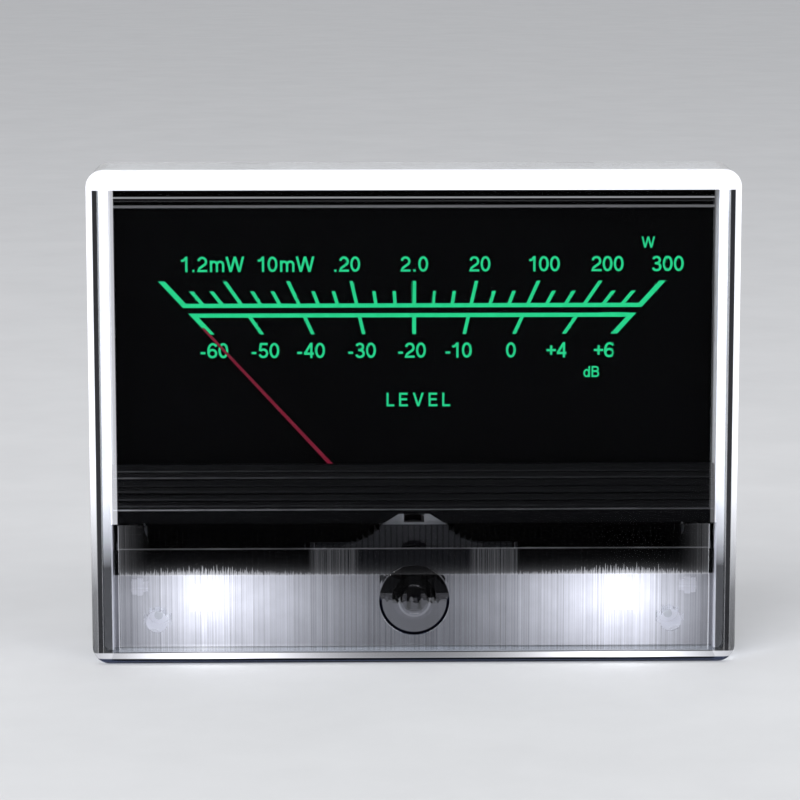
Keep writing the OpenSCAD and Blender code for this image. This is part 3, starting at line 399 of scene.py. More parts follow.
class Material:
    """One material under way: its graph, its main shader and where it is read."""

    def __init__(self, name: str) -> None:
        """Makes a bare material with one Principled shader.

        Args:
            name: the material's name.
        """
        self.data = bpy.data.materials.new(name)
        self.data.use_nodes = True
        self.data.node_tree.nodes.clear()
        self.graph = Graph(self.data.node_tree)
        self.place = self.graph.node("ShaderNodeTexCoord").outputs["Object"]
        self.shader = self.graph.node("ShaderNodeBsdfPrincipled")
        self.out = self.graph.node("ShaderNodeOutputMaterial", {"Surface": self.shader.outputs[0]})

    def set(self, **values: object) -> None:
        """Sets inputs of the main shader, with _ for each space in a name.

        Args:
            values: a value or an output socket for each input.
        """
        for name, value in values.items():
            self.graph.feed(self.shader.inputs[name.replace("_", " ")], value)

    def effect(self, group: bpy.types.NodeTree, **values: object) -> bpy.types.Node:
        """Places a shared effect.

        Args:
            group: the effect's group.
            values: a value or an output socket for each input but Place.

        Returns:
            The group node.
        """
        made = self.graph.node("ShaderNodeGroup", node_tree=group)
        for name, value in {"Place": self.place, **values}.items():
            self.graph.feed(made.inputs[name], value)
        return made

    def bump(self, height: Socket, strength: float, depth: float, under: Socket | None = None) -> None:
        """Feeds the shader's normal from a height.

        Args:
            height: the height's socket.
            strength: how much of the bump is used.
            depth: the height of a full step, in metres.
            under: the direction of the face under the bump, where it isn't the mesh's own.
        """
        made = self.graph.node("ShaderNodeBump", {"Strength": strength, "Distance": depth, "Height": height})
        if under is not None:
            self.graph.feed(made.inputs["Normal"], under)
        self.set(Normal=made.outputs[0])

    def shine(self, tint: Colour, light: Socket) -> None:
        """Lets the face give light.

        Args:
            tint: the light's colour.
            light: how strong it is at each place.
        """
        self.set(Emission_Color=self.graph.mix(1.0, tint, light, "MULTIPLY"), Emission_Strength=1.0)


def shade(colour: Colour, by: float) -> Colour:
    """The colour, lighter or darker.

    Args:
        colour: linear red, green and blue.
        by: the factor.

    Returns:
        The new colour, held below 1.
    """
    return tuple(min(1.0, part * by) for part in colour)


@dataclass(frozen=True)
class Plastic:
    """A moulded plastic: colour, gloss, grain, rub marks and dust."""

    colour: Colour
    rough: float = 0.45
    grain: float = 2500.0
    depth: float = 0.02 * MM
    clouds: float = 60.0
    uneven: float = 0.06
    rubbed: float = 0.3
    worn: float = 0.25
    dusty: float = 0.1
    coat: float = 0.0
    gloss: float = 0.5

    def dress(self, name: str) -> Material:
        """Builds the material.

        Args:
            name: the material's name.

        Returns:
            The material, which a lit finish may go on with.
        """
        made = Material(name)
        graph = made.graph
        face = made.effect(EFFECTS.moulding(), Grain=self.grain, Clouds=self.clouds, Rubbed=self.rubbed)
        edge = made.effect(EFFECTS.edges(), Reach=0.25 * MM).outputs["Mask"]
        dust = made.effect(EFFECTS.dust(), Amount=self.dusty).outputs["Mask"]
        tone = graph.spread(face.outputs["Shade"], -1.0, 1.0)
        base = graph.mix(tone, shade(self.colour, 1 - self.uneven), shade(self.colour, 1 + self.uneven))
        base = graph.mix(graph.math("MULTIPLY", edge, self.worn), base, shade(self.colour, 1.5))
        base = graph.mix(dust, base, DUST)
        rough = graph.math("SUBTRACT", self.rough, graph.product(face.outputs["Gloss"], 0.12))
        rough = graph.math("ADD", rough, graph.product(dust, 0.4), clamp=True)
        made.set(Base_Color=base, Roughness=rough, Specular_IOR_Level=self.gloss)
        made.set(Coat_Weight=self.coat, Coat_Roughness=0.1)
        made.bump(face.outputs["Height"], 0.6, self.depth)
        return made


@dataclass(frozen=True)
class LampLight:
    """How the light of the lamps spreads over a face beside them."""

    lamps: tuple[tuple[float, float], ...] = ((-44.0 * MM, -37.6 * MM), (44.0 * MM, -37.6 * MM))
    power: float = 1.1
    reach: float = 17.0 * MM
    ground: float = 0.04
    upright: float = 1.25
    outward: float = 1.3

    def on(self, graph: Graph, place: Socket) -> Socket:
        """The light at a place.

        Args:
            graph: the material's graph.
            place: where it is read, in metres.

        Returns:
            The light's socket.
        """
        x, _, z = graph.axes(place)
        light: Socket | float = self.ground
        for lamp_x, lamp_z in self.lamps:
            side = math.copysign(1.0, lamp_x)
            past = graph.product(graph.math("SUBTRACT", x, lamp_x), side)
            across = graph.math("MAXIMUM", graph.product(past, self.outward), graph.product(past, -1.0))
            up = graph.product(graph.math("SUBTRACT", z, lamp_z), self.upright)
            flat = graph.node("ShaderNodeCombineXYZ", {0: across, 1: up}).outputs[0]
            distance = graph.vector("LENGTH", flat)
            light = graph.total(light, graph.product(graph.decay(distance, self.reach), self.power))
        return graph.math("MAXIMUM", light, 0.0)


@dataclass(frozen=True)
class HoodPlastic(Plastic):
    """The hood's black plastic, whose groove edges and lip catch the lamps' light."""

    lines: tuple[Pair, ...] = (
        (-19.25 * MM, 0.24), (-11.6 * MM, 0.036), (-12.9 * MM, 0.068), (-14.5 * MM, 0.008),
        (-15.6 * MM, 0.012), (-17.2 * MM, 0.018), (-18.5 * MM, 0.024),
    )
    wide: float = 0.14 * MM
    right: float = 0.2
    tint: Colour = (0.92, 0.93, 1.0)
    from_x: float = -61.0 * MM
    reach: float = 28.0 * MM
    front: float = -11.0 * MM

    def dress(self, name: str) -> Material:
        """Builds the material, with fine lit lines along the hood.

        Args:
            name: the material's name.

        Returns:
            The material.
        """
        made = super().dress(name)
        graph = made.graph
        x, y, z = graph.axes(made.place)
        along = graph.total(graph.decay(graph.math("SUBTRACT", x, self.from_x), self.reach), self.right)
        patches = graph.noise(graph.vector("MULTIPLY", made.place, (1.0, 1.0, 0.0)), 260, 3.0, 0.6)
        uneven = graph.spread(patches, 0.3, 0.7, (0.6, 1.2))
        lines = [
            graph.product(graph.band(z, height - self.wide, height + self.wide), strength)
            for height, strength in self.lines
        ]
        light = graph.product(graph.total(*lines), along, uneven, graph.math("LESS_THAN", y, self.front))
        made.shine(self.tint, light)
        return made


@dataclass(frozen=True)
class Metal:
    """A metal: colour, gloss, tool lines and tarnish, and where set, painted shade above a height and
    painted lamp light.
    """

    colour: Colour
    rough: float = 0.3
    way: Way = Way.TURNED
    lines: float = 6000.0
    depth: float = 0.006 * MM
    tarnish: Colour = (0.2, 0.17, 0.14)
    tarnished: float = 0.25
    worn: float = 0.5
    # painted shade: the face is darker above this height
    painted_shade_above: float | None = None
    # painted lamp light on the face
    light: LampLight | None = None

    def stretch(self) -> Colour:
        """How much the lines are drawn out along each axis.

        Returns:
            Factors along X, Y and Z.
        """
        return {
            Way.TURNED: (0.25, 1.0, 0.25),
            Way.ACROSS: (0.03, 1.0, 1.0),
            Way.UPRIGHT: (1.0, 1.0, 0.03),
        }[self.way]

    def dress(self, name: str) -> Material:
        """Builds the material.

        Args:
            name: the material's name.

        Returns:
            The material.
        """
        made = Material(name)
        graph = made.graph
        tool = made.effect(EFFECTS.tooling(), Stretch=self.stretch(), Lines=self.lines)
        edge = made.effect(EFFECTS.edges(), Reach=0.2 * MM).outputs["Mask"]
        tarnished = graph.math("MULTIPLY", tool.outputs["Tarnish"], self.tarnished)
        tone = graph.spread(tool.outputs["Lines"], -1.0, 1.0)
        lined = graph.mix(tone, shade(self.colour, 0.9), shade(self.colour, 1.08))
        base = graph.mix(tarnished, lined, self.tarnish)
        base = graph.mix(graph.math("MULTIPLY", edge, self.worn), base, shade(self.colour, 1.35))
        rough = graph.math("ADD", self.rough, graph.math("MULTIPLY", tool.outputs["Lines"], 0.06))
        rough = graph.math("ADD", rough, graph.math("MULTIPLY", tarnished, 0.5), clamp=True)
        # painted shade above the set height
        if self.painted_shade_above is not None:
            high = graph.over(graph.axes(made.place)[2], self.painted_shade_above)
            base = graph.mix(high, base, shade(self.colour, 0.05))
        # painted lamp light, none where the painted shade is
        if self.light is not None:
            glow = self.light.on(graph, made.place)
            if self.painted_shade_above is not None:
                glow = graph.product(glow, graph.math("SUBTRACT", 1.0, high))
            made.shine(LAMP_TINT, glow)
        made.set(Base_Color=base, Metallic=1.0, Roughness=rough)
        made.bump(tool.outputs["Height"], 0.5, self.depth)
        return made


@dataclass(frozen=True)
class ClearMoulding:
    """Clear moulded plastic with fine scratches and a film of dust."""

    tint: Colour = (0.96, 0.975, 1.0)
    rough: float = 0.02
    bend: float = 1.49
    mirror: float = 0.02
    scratch: float = 0.012 * MM

    def dress(self, name: str) -> Material:
        """Builds the material. Light passes it on its way to what lies behind.

        Args:
            name: the material's name.

        Returns:
            The material.
        """
        made = Material(name)
        graph = made.graph
        hair = graph.noise(graph.vector("MULTIPLY", made.place, (1.0, 1.0, 0.04)), 1500, 2.0, 0.4)
        across = graph.noise(graph.vector("MULTIPLY", made.place, (0.05, 1.0, 1.0)), 1100, 2.0, 0.4)
        lines = graph.math("MAXIMUM", graph.spread(hair, 0.69, 0.75), graph.spread(across, 0.7, 0.76))
        film = graph.spread(graph.noise(made.place, 45, 3.0, 0.5), 0.4, 0.75)
        dust = made.effect(EFFECTS.dust(), Amount=0.25).outputs["Mask"]
        rough = graph.math("ADD", self.rough, graph.math("MULTIPLY", film, 0.02))
        rough = graph.math("ADD", rough, graph.product(graph.total(lines, dust), 0.06), clamp=True)
        base = graph.mix(graph.math("MULTIPLY", dust, 0.5), self.tint, shade(self.tint, 0.93))
        made.set(Roughness=rough, IOR=self.bend, Transmission_Weight=1.0)
        made.set(Specular_Tint=(self.mirror, self.mirror, self.mirror))
        made.bump(graph.math("SUBTRACT", film, lines), 0.4, self.scratch, self.calm(made))
        self.zone(made, base)
        through = graph.node("ShaderNodeBsdfTransparent", {"Color": self.tint})
        shadow = graph.node("ShaderNodeLightPath").outputs["Is Shadow Ray"]
        shaders = {0: shadow, 1: made.shader.outputs[0], 2: through.outputs[0]}
        graph.feed(made.out.inputs["Surface"], graph.node("ShaderNodeMixShader", shaders).outputs[0])
        return made

    def zone(self, made: Material, base: Socket) -> None:
        """Colours the moulding.

        Args:
            made: the material under way.
            base: its even colour.
        """
        made.set(Base_Color=base)

    def calm(self, made: Material) -> Socket | None:
        """The faces' own direction, where the moulding blunts it.

        Args:
            made: the material under way.

        Returns:
            The direction's socket, or nothing where the faces are used as they are.
        """
        return None


@dataclass(frozen=True)
class CoverMoulding(ClearMoulding):
    """The cover: painted light on its edges, and painted shade on the inner face round the fluted window and
    on bands of its front.

    A range is low and high, in metres, or where streaks start and are full, in the noise's values.
    """

    rim_light: Colour = (0.92, 0.93, 1.0)
    front: float = -17.7 * MM
    soft: float = 0.1 * MM
    rim_x: float = 65.7 * MM
    rim_full: float = -9.0 * MM
    rim_reach: float = 14.0 * MM
    rim_dim: Pair = (-36.0 * MM, -9.0 * MM)
    rim_shares: Pair = (0.9, 0.85)
    step_x: float = 64.65 * MM
    head_z: float = 47.4 * MM
    step_lines: tuple[tuple[float, float, float], ...] = (
        (45.9 * MM, 0.17 * MM, 0.33), (44.1 * MM, 0.24 * MM, 0.13), (45.2 * MM, 0.1 * MM, 0.03),
    )
    strip: Pair = (61.4 * MM, 62.7 * MM)
    strip_foot: float = -21.8 * MM
    strip_light: Pair = (0.6, 0.12)
    rail_dims: tuple[tuple[float, float, float], ...] = (
        (-27.0 * MM, -17.0 * MM, 0.2), (-31.0 * MM, -27.0 * MM, 0.05),
    )
    foot: Pair = (-50.3 * MM, -49.1 * MM)
    foot_light: LampLight = LampLight(power=3.4, reach=13.0 * MM, ground=0.02, upright=0.0, outward=1.3)
    inner: float = -16.7 * MM
    flute_top: float = -16.1 * MM
    # the band of painted shade on the inner face, above the flutes
    shade_band: Pair = (-33.05 * MM, -22.3 * MM)
    fluted: Pair = (-49.1 * MM, -33.05 * MM)
    window_light: LampLight = LampLight(power=1.3, reach=14.0 * MM, ground=0.0)
    fringe: float = 4.5 * MM
    # painted light: the side range of a glowing patch over the band above the flutes
    haze_glow: Pair = (12.0 * MM, 21.4 * MM)
    toe: float = 1.2 * MM
    toe_sides: tuple[Pair, Pair] = ((-20.0 * MM, 20.0 * MM), (0.13, 0.03))
    spill: float = 0.8 * MM
    spill_light: Pair = (0.4, 0.05)
    ends: Pair = (54.5 * MM, 61.3 * MM)
    # painted highlight: a thin lit line across the band of painted shade
    glint_line: float = -27.4 * MM
    glint_line_light: Pair = (0.02, 0.16)
    flute: float = 1.2 * MM
    window_x: float = 61.3 * MM
    blunt: float = 1.5
    # painted shade for that band, darker at each flute's cusp
    painted_shade: Colour = (0.06, 0.06, 0.066)
    shade_cusp: Colour = (0.004, 0.004, 0.005)
    # painted shade on the strip's lower part, the gap, the foot and below the foot
    shelf_shade: Colour = (0.4, 0.4, 0.43)
    gap_shade: Colour = (0.003, 0.003, 0.0035)
    foot_shade: Colour = (0.12, 0.12, 0.13)
    toe_shade: Colour = (0.004, 0.006, 0.018)

    def zone(self, made: Material, base: Socket) -> None:
        """Paints light on the edges, and paints shade as streaks and a dark band on the inner face and as
        dark bands on the front.

        Args:
            made: the material under way.
            base: its even colour.
        """
        graph = made.graph
        _, y, _ = graph.axes(made.place)
        front = graph.spread(y, self.front + self.soft, self.front - self.soft)
        inside = self.inside(graph, made.place)
        fine = graph.noise(graph.vector("MULTIPLY", made.place, (1.0, 0.0, 0.0)), 2600, 2.0, 0.8)
        edges = graph.product(self.lights(graph, made.place), front)
        window = graph.product(inside, self.window_glow(graph, made.place, fine))
        made.shine(self.rim_light, graph.total(edges, window))
        base = self.flutes(graph, made.place, inside, fine, base)
        made.set(Base_Color=self.steps(graph, made.place, front, base))

    def inside(self, graph: Graph, place: Socket) -> Socket:
        """Masks the inner face of the window, where the flutes are.

        Args:
            graph: the material's graph.
            place: where it is read, in metres.

        Returns:
            The mask's socket.
        """
        x, y, _ = graph.axes(place)
        within = graph.math("LESS_THAN", graph.math("ABSOLUTE", x), self.window_x)
        return graph.product(graph.band(y, self.inner, self.flute_top), within)

    def window_glow(self, graph: Graph, place: Socket, fine: Socket) -> Socket:
        """The lamps' painted light on the flutes and on the band of painted shade above them.

        Args:
            graph: the material's graph.
            place: where it is read, in metres.
            fine: the noise of the fine upright streaks.

        Returns:
            The light's socket.
        """
        x, _, z = graph.axes(place)
        aside = graph.math("ABSOLUTE", x)
        above = graph.math("SUBTRACT", z, self.fluted[1])
        higher = graph.over(z, self.fluted[1])
        lamp = self.window_light.on(graph, place)
        patches = graph.noise(graph.vector("MULTIPLY", place, (1.0, 0.0, 0.0)), 60, 3.0, 0.7)
        # painted highlight along the line across the shaded band
        line = graph.product(
            graph.band(z, self.glint_line - self.soft, self.glint_line + self.soft),
            graph.spread(patches, 0.3, 0.7, self.glint_line_light),
        )
        flutes = graph.product(graph.band(z, *self.fluted), graph.spread(fine, 0.5, 0.68), lamp, 0.3)
        reach = graph.product(graph.spread(fine, 0.42, 0.72), lamp, self.fringe)
        short = graph.math("LESS_THAN", graph.math("SUBTRACT", above, reach), 0.0)
        fringe = graph.product(higher, short, lamp, 0.55)
        # painted light in patches to each side
        mist_glow = graph.product(
            graph.band(aside, *self.haze_glow, 0.6 * MM), graph.band(z, self.fluted[1], self.glint_line),
            graph.spread(fine, 0.4, 0.7), 0.1,
        )
        toe = graph.product(
            graph.band(z, self.fluted[0], self.fluted[0] + self.toe, 0.4 * MM),
            self.foot_light.on(graph, place), graph.spread(x, *self.toe_sides[0], self.toe_sides[1]),
        )
        share, ground = self.spill_light
        spilt = graph.product(
            higher, graph.decay(above, self.spill), graph.total(graph.product(lamp, share), ground),
            graph.spread(fine, 0.3, 0.7, (0.5, 1.0)),
        )
        sides = graph.product(
            graph.math("POWER", graph.spread(aside, *self.ends), 2.0), graph.band(z, *self.shade_band),
            graph.spread(fine, 0.35, 0.65, (0.2, 1.0)), 0.1,
        )
        return graph.total(line, flutes, fringe, mist_glow, toe, spilt, sides)

    def flutes(self, graph: Graph, place: Socket, inside: Socket, fine: Socket, base: Socket) -> Socket:
        """Streaks the flutes with painted shade, each a little apart from the next, and darkens the band
        above them with painted shade.

        Args:
            graph: the material's graph.
            place: where it is read, in metres.
            inside: the mask of the inner face.
            fine: the noise of the fine upright streaks.
            base: the colour so far.

        Returns:
            The new colour's socket.
        """
        x, _, z = graph.axes(place)
        count = graph.product(x, 1 / self.flute)
        index = graph.math("FLOOR", count)
        chance = graph.node("ShaderNodeTexWhiteNoise", {"W": index}, noise_dimensions="1D").outputs["Value"]
        middle = graph.math("ABSOLUTE", graph.math("SUBTRACT", graph.math("FRACT", count), 0.5))
        cusp = graph.math("POWER", graph.product(middle, 2.0), 4.0)
        # painted shade: each flute darker towards its cusp, by a random amount per flute, with fine upright
        # streaks
        dark = graph.total(
            graph.product(chance, 0.2), graph.product(cusp, chance, 0.4),
            graph.spread(fine, 0.55, 0.3, (0.0, 0.35)),
        )
        streaked = graph.mix(1.0, base, graph.math("SUBTRACT", 1.0, dark), "MULTIPLY")
        base = graph.mix(graph.product(inside, graph.band(z, *self.fluted)), base, streaked)
        # painted shade over the band above the flutes
        painted_shade = graph.mix(graph.product(cusp, 0.9), self.painted_shade, self.shade_cusp)
        return graph.mix(graph.product(inside, graph.band(z, *self.shade_band)), base, painted_shade)

    def steps(self, graph: Graph, place: Socket, front: Socket, base: Socket) -> Socket:
        """Darkens the front's side bands and its foot with painted shade.

        Args:
            graph: the material's graph.
            place: where it is read, in metres.
            front: the mask of the front.
            base: the colour so far.

        Returns:
            The new colour's socket.
        """
        x, _, z = graph.axes(place)
        aside = graph.math("ABSOLUTE", x)
        low = graph.math("LESS_THAN", z, self.head_z)
        dims = [graph.spread(z, start, full, (least, 1.0)) for start, full, least in self.rail_dims]
        edge_dim = graph.spread(z, *self.rim_dim, (0.04, 1.0))
        below = graph.math("LESS_THAN", z, self.strip_foot)
        # painted shade on the side bands, the strip's lower part and the rim, darker towards the bottom
        bands = (
            (graph.product(front, graph.band(aside, self.strip[1], self.step_x)), graph.product(*dims)),
            (graph.product(front, graph.band(aside, *self.strip), below), self.shelf_shade),
            (graph.product(front, graph.over(aside, self.rim_x), low), edge_dim),
        )
        for mask, tint in bands:
            base = graph.mix(mask, base, graph.mix(1.0, base, tint, "MULTIPLY"))
        # painted shade in the gap, on the foot and below it
        gap = graph.product(front, graph.band(aside, self.step_x, self.rim_x), low)
        base = graph.mix(gap, base, self.gap_shade)
        base = graph.mix(graph.product(front, graph.band(z, *self.foot)), base, self.foot_shade)
        return graph.mix(graph.product(front, graph.math("LESS_THAN", z, self.foot[0])), base, self.toe_shade)

    def lights(self, graph: Graph, place: Socket) -> Socket:
        """The light that leaves the front's edges and steps.

        Args:
            graph: the material's graph.
            place: where it is read, in metres.

        Returns:
            The light's socket.
        """
        x, _, z = graph.axes(place)
        aside = graph.math("ABSOLUTE", x)
        below = graph.math("SUBTRACT", self.rim_full, z)
        sides, top = self.rim_shares
        rim = graph.product(graph.over(aside, self.rim_x), graph.decay(below, self.rim_reach), sides)
        head = graph.product(graph.over(z, self.head_z), top)
        foot = graph.product(graph.band(z, *self.foot), self.foot_light.on(graph, place))
        light = graph.math("MAXIMUM", graph.math("MAXIMUM", rim, head), foot)
        upper = graph.math("GREATER_THAN", z, self.strip_foot)
        low = graph.math("LESS_THAN", z, self.head_z)
        share = graph.spread(x, -1.0 * MM, 1.0 * MM, self.strip_light)
        light = graph.total(light, graph.product(graph.band(aside, *self.strip), share, upper, low))
        window = graph.math("LESS_THAN", aside, self.strip[0])
        for height, half, strength in self.step_lines:
            line = graph.product(graph.band(z, height - half, height + half, 0.05 * MM), window, strength)
            light = graph.total(light, line)
        return light

    def calm(self, made: Material) -> Socket:
        """Blunts the flutes, whose moulded edges are softer than the plain solid's.

        Args:
            made: the material under way.

        Returns:
            The direction's socket.
        """
        graph = made.graph
        normal = graph.node("ShaderNodeNewGeometry").outputs["Normal"]
        _, _, z = graph.axes(made.place)
        fluted = graph.product(self.inside(graph, made.place), graph.band(z, self.fluted[0], self.shade_band[1]))
        facing = graph.math("SIGN", graph.vector("DOT_PRODUCT", normal, (0.0, 1.0, 0.0)))
        push = graph.product(fluted, facing, self.blunt)
        ahead = graph.node("ShaderNodeCombineXYZ", {1: push}).outputs[0]
        return graph.vector("NORMALIZE", graph.vector("ADD", normal, ahead))


@dataclass(frozen=True)
class KnobMoulding(ClearMoulding):
    """The zero adjuster's clear head: dark above its middle, where it shows the lever's housing, as painted
    shade, with painted light below its middle.
    """

    middle: float = -38.0 * MM
    edge: float = 6.7 * MM
    # tints above and below the middle; painted light below makes the upper half look dark
    upper: Colour = (0.3, 0.29, 0.28)
    lower: Colour = (0.26, 0.26, 0.28)
    # painted shade round the lower rim
    rim: Colour = (0.004, 0.005, 0.02)
    glow: Colour = (0.9, 0.92, 1.0)
    # painted light: the even glow of the head's lower half
    haze_glow: float = 0.06
    ring: float = 3.2 * MM
    ring_half: float = 0.2 * MM
    ring_light: float = 0.06
    face_y: float = -18.0 * MM
    ragged: float = 0.8 * MM

    def zone(self, made: Material, base: Socket) -> None:
        """Paints the head darker above its middle than below, where painted light is added, and paints shade
        round its lower rim. The painted shade stays up as the head turns.

        Args:
            made: the material under way.
            base: its even colour.
        """
        graph = made.graph
        place = graph.node("ShaderNodeNewGeometry").outputs["Position"]
        _, y, z = graph.axes(place)
        ragged = graph.spread(graph.noise(place, 900, 1.0, 0.5), 0.3, 0.7, (-self.ragged, self.ragged))
        high = graph.over(graph.total(z, ragged), self.middle, 0.15 * MM)
        tint = graph.mix(high, self.lower, self.upper)
        flat = graph.vector("MULTIPLY", place, (1.0, 0.0, 1.0))
        radius = graph.vector("LENGTH", graph.vector("SUBTRACT", flat, (0.0, 0.0, self.middle)))
        lower = graph.math("SUBTRACT", 1.0, high)
        outer = graph.product(graph.over(radius, self.edge), lower)
        tint = graph.mix(outer, tint, self.rim)
        made.set(Base_Color=graph.mix(1.0, base, tint, "MULTIPLY"))
        # painted light on the lower half, with a brighter ring
        front = graph.math("LESS_THAN", y, self.face_y)
        ring = graph.band(radius, self.ring - self.ring_half, self.ring + self.ring_half, 0.15 * MM)
        halo = graph.total(graph.product(ring, self.ring_light), self.haze_glow)
        made.shine(self.glow, graph.product(lower, graph.math("SUBTRACT", 1.0, outer), front, halo))


@dataclass(frozen=True)
class LitMoulding:
    """Moulded plastic that glows with the lamps' light, down to its back where that is set."""

    body: Plastic
    light: LampLight
    back: float | None = None

    def dress(self, name: str) -> Material:
        """Builds the material: the plastic, with light that falls off from each lamp.

        Args:
            name: the material's name.

        Returns:
            The material.
        """
        made = self.body.dress(name)
        graph = made.graph
        patch = graph.spread(graph.noise(made.place, 240, 2.0, 0.5), 0.3, 0.7, (0.92, 1.04))
        light = graph.product(self.spread(graph, made.place), patch)
        made.shine(LAMP_TINT, light)
        return made

    def spread(self, graph: Graph, place: Socket) -> Socket:
        """The light on the face.

        Args:
            graph: the material's graph.
            place: where it is read, in metres.

        Returns:
            The light's socket.
        """
        light = self.light.on(graph, place)
        if self.back is None:
            return light
        return graph.product(light, graph.math("LESS_THAN", graph.axes(place)[1], self.back))


@dataclass(frozen=True)
class CaseMoulding(LitMoulding):
    """The white case: its front rails and the room round the lamps are lit, and its back isn't."""

    rails: float = 0.4
    rails_y: float = -14.5 * MM
    room_top: float = -32.9 * MM

    def spread(self, graph: Graph, place: Socket) -> Socket:
        """The light on the rails and in the lamps' room.

        Args:
            graph: the material's graph.
            place: where it is read, in metres.

        Returns:
            The light's socket.
        """
        _, y, z = graph.axes(place)
        rails = graph.product(graph.math("LESS_THAN", y, self.rails_y), self.rails)
        room = graph.product(super().spread(graph, place), graph.math("LESS_THAN", z, self.room_top))
        return graph.math("MAXIMUM", rails, room)


@dataclass(frozen=True)
class Glow:
    """A face that shines in one colour: the lamps' own faces, and painted light on the print and the
    pointer.
    """

    colour: Colour
    body: Plastic

    def dress(self, name: str) -> Material:
        """Builds the material, with a little unevenness in its light.

        Args:
            name: the material's name.

        Returns:
            The material.
        """
        made = self.body.dress(name)
        graph = made.graph
        patch = graph.spread(graph.noise(made.place, 700, 3.0, 0.5), 0.3, 0.7)
        colour = graph.mix(patch, shade(self.colour, 0.88), self.colour)
        made.set(Emission_Color=colour, Emission_Strength=1.0)
        return made


@dataclass(frozen=True)
class Sleeves:
    """Insulated leads, red on the right side and black on the left."""

    right: Colour = (0.42, 0.02, 0.02)
    left: Colour = (0.02, 0.02, 0.022)

    def dress(self, name: str) -> Material:
        """Builds the material.

        Args:
            name: the material's name.

        Returns:
            The material.
        """
        made = Plastic(self.right, rough=0.4).dress(name)
        graph = made.graph
        side, _, _ = graph.axes(made.place)
        held = made.shader.inputs["Base Color"].links[0].from_socket
        dark = graph.mix(0.04, self.left, held)
        made.set(Base_Color=graph.mix(graph.math("GREATER_THAN", side, 0.0), dark, held))
        return made


GREEN: Colour = (0.017, 0.68, 0.262)
WHITE = Plastic(
    (0.6, 0.605, 0.62), rough=0.42, grain=1800, depth=0.03 * MM, uneven=0.05, worn=0.4, dusty=0.05,
)


def finishes() -> dict[str, object]:
    """The finish of each of the record's material slots.

    Returns:
        A finish for each slot's name.
    """
    steel: Colour = (0.56, 0.57, 0.58)
    brass: Colour = (0.78, 0.57, 0.24)
    return {
        "clear_plastic": CoverMoulding(),
        # the white case: painted lamp light on its front rails and round the lamps
        "white_plastic": CaseMoulding(WHITE, LampLight(power=0.75, ground=0.03), back=-0.5 * MM),
        # the white reflector: a dark base, with painted lamp light that gives its brightness and falls off
        # away from the lamps
        "reflector_white": LitMoulding(
            Plastic((0.06, 0.061, 0.067), rough=0.5, grain=1400, dusty=0.02),
            LampLight(power=1.92, reach=17.0 * MM, ground=-0.17, outward=1.5),
        ),
        "dial_black": Plastic(
            (0.0003, 0.0003, 0.0004), rough=0.6, grain=5000, depth=0.004 * MM,
            uneven=0.2, rubbed=0.05, worn=0.0, dusty=0.0, gloss=0.02,
        ),
        # painted light: the scale's print glows
        "scale_green": Glow(
            GREEN, Plastic((0.001, 0.01, 0.005), rough=0.5, worn=0.0, dusty=0.0, gloss=0.1),
        ),
        "guide_acrylic": ClearMoulding(tint=(0.85, 0.95, 0.9), rough=0.2),
        "black_plastic": Plastic((0.003, 0.003, 0.0036), rough=0.42, grain=3200, dusty=0.002, gloss=0.08),
        "smoke_plastic": Plastic((0.03, 0.031, 0.035), rough=0.35, dusty=0.01),
        # the lamps' board: painted lamp light
        "board_green": LitMoulding(
            Plastic((0.015, 0.1, 0.04), rough=0.3, coat=0.5, grain=900), LampLight(power=2.6),
        ),
        "lamp_white": Glow((0.96, 0.97, 1.0), Plastic((0.8, 0.8, 0.75), rough=0.3)),
        "resistor_black": Plastic((0.02, 0.02, 0.022), rough=0.35),
        "header_cream": Plastic((0.7, 0.64, 0.5), rough=0.45),
        "wire_sleeve": Sleeves(),
        "grey_moulding": Plastic((0.08, 0.083, 0.09), rough=0.45, grain=1500, dusty=0.01),
        "bridge_metal": Metal((0.26, 0.26, 0.27), rough=0.42, way=Way.ACROSS, tarnish=(0.1, 0.1, 0.1)),
        "soft_iron": Metal((0.32, 0.33, 0.35), rough=0.45),
        "magnet_metal": Metal((0.2, 0.21, 0.23), rough=0.35),
        "brass": Metal(brass, rough=0.28, tarnish=(0.25, 0.15, 0.06)),
        "screw_steel": Metal(steel, rough=0.28),
        "blackened_steel": Metal((0.05, 0.05, 0.055), rough=0.4, tarnish=(0.1, 0.08, 0.07)),
        "stud_steel": Metal(steel, rough=0.3, lines=9000),
        "tin_plate": Metal((0.66, 0.66, 0.63), rough=0.35, way=Way.ACROSS),
        # painted light: the pointer glows a little
        "pointer_crimson": Glow(
            (0.08, 0.001, 0.009),
            Plastic((0.09, 0.002, 0.01), rough=0.45, depth=0.004 * MM, dusty=0.0, gloss=0.2),
        ),
        "balance_metal": Metal((0.7, 0.7, 0.7), rough=0.3),
        "coil_aluminium": Metal((0.62, 0.63, 0.65), rough=0.35, way=Way.UPRIGHT),
        "coil_copper": Metal(
            (0.5, 0.19, 0.07), rough=0.3, way=Way.UPRIGHT, lines=9000, depth=0.03 * MM,
            tarnish=(0.2, 0.06, 0.02),
        ),
        "pivot_steel": Metal((0.6, 0.61, 0.65), rough=0.15),
        "spring_bronze": Metal((0.62, 0.38, 0.16), rough=0.25, way=Way.ACROSS),
    }


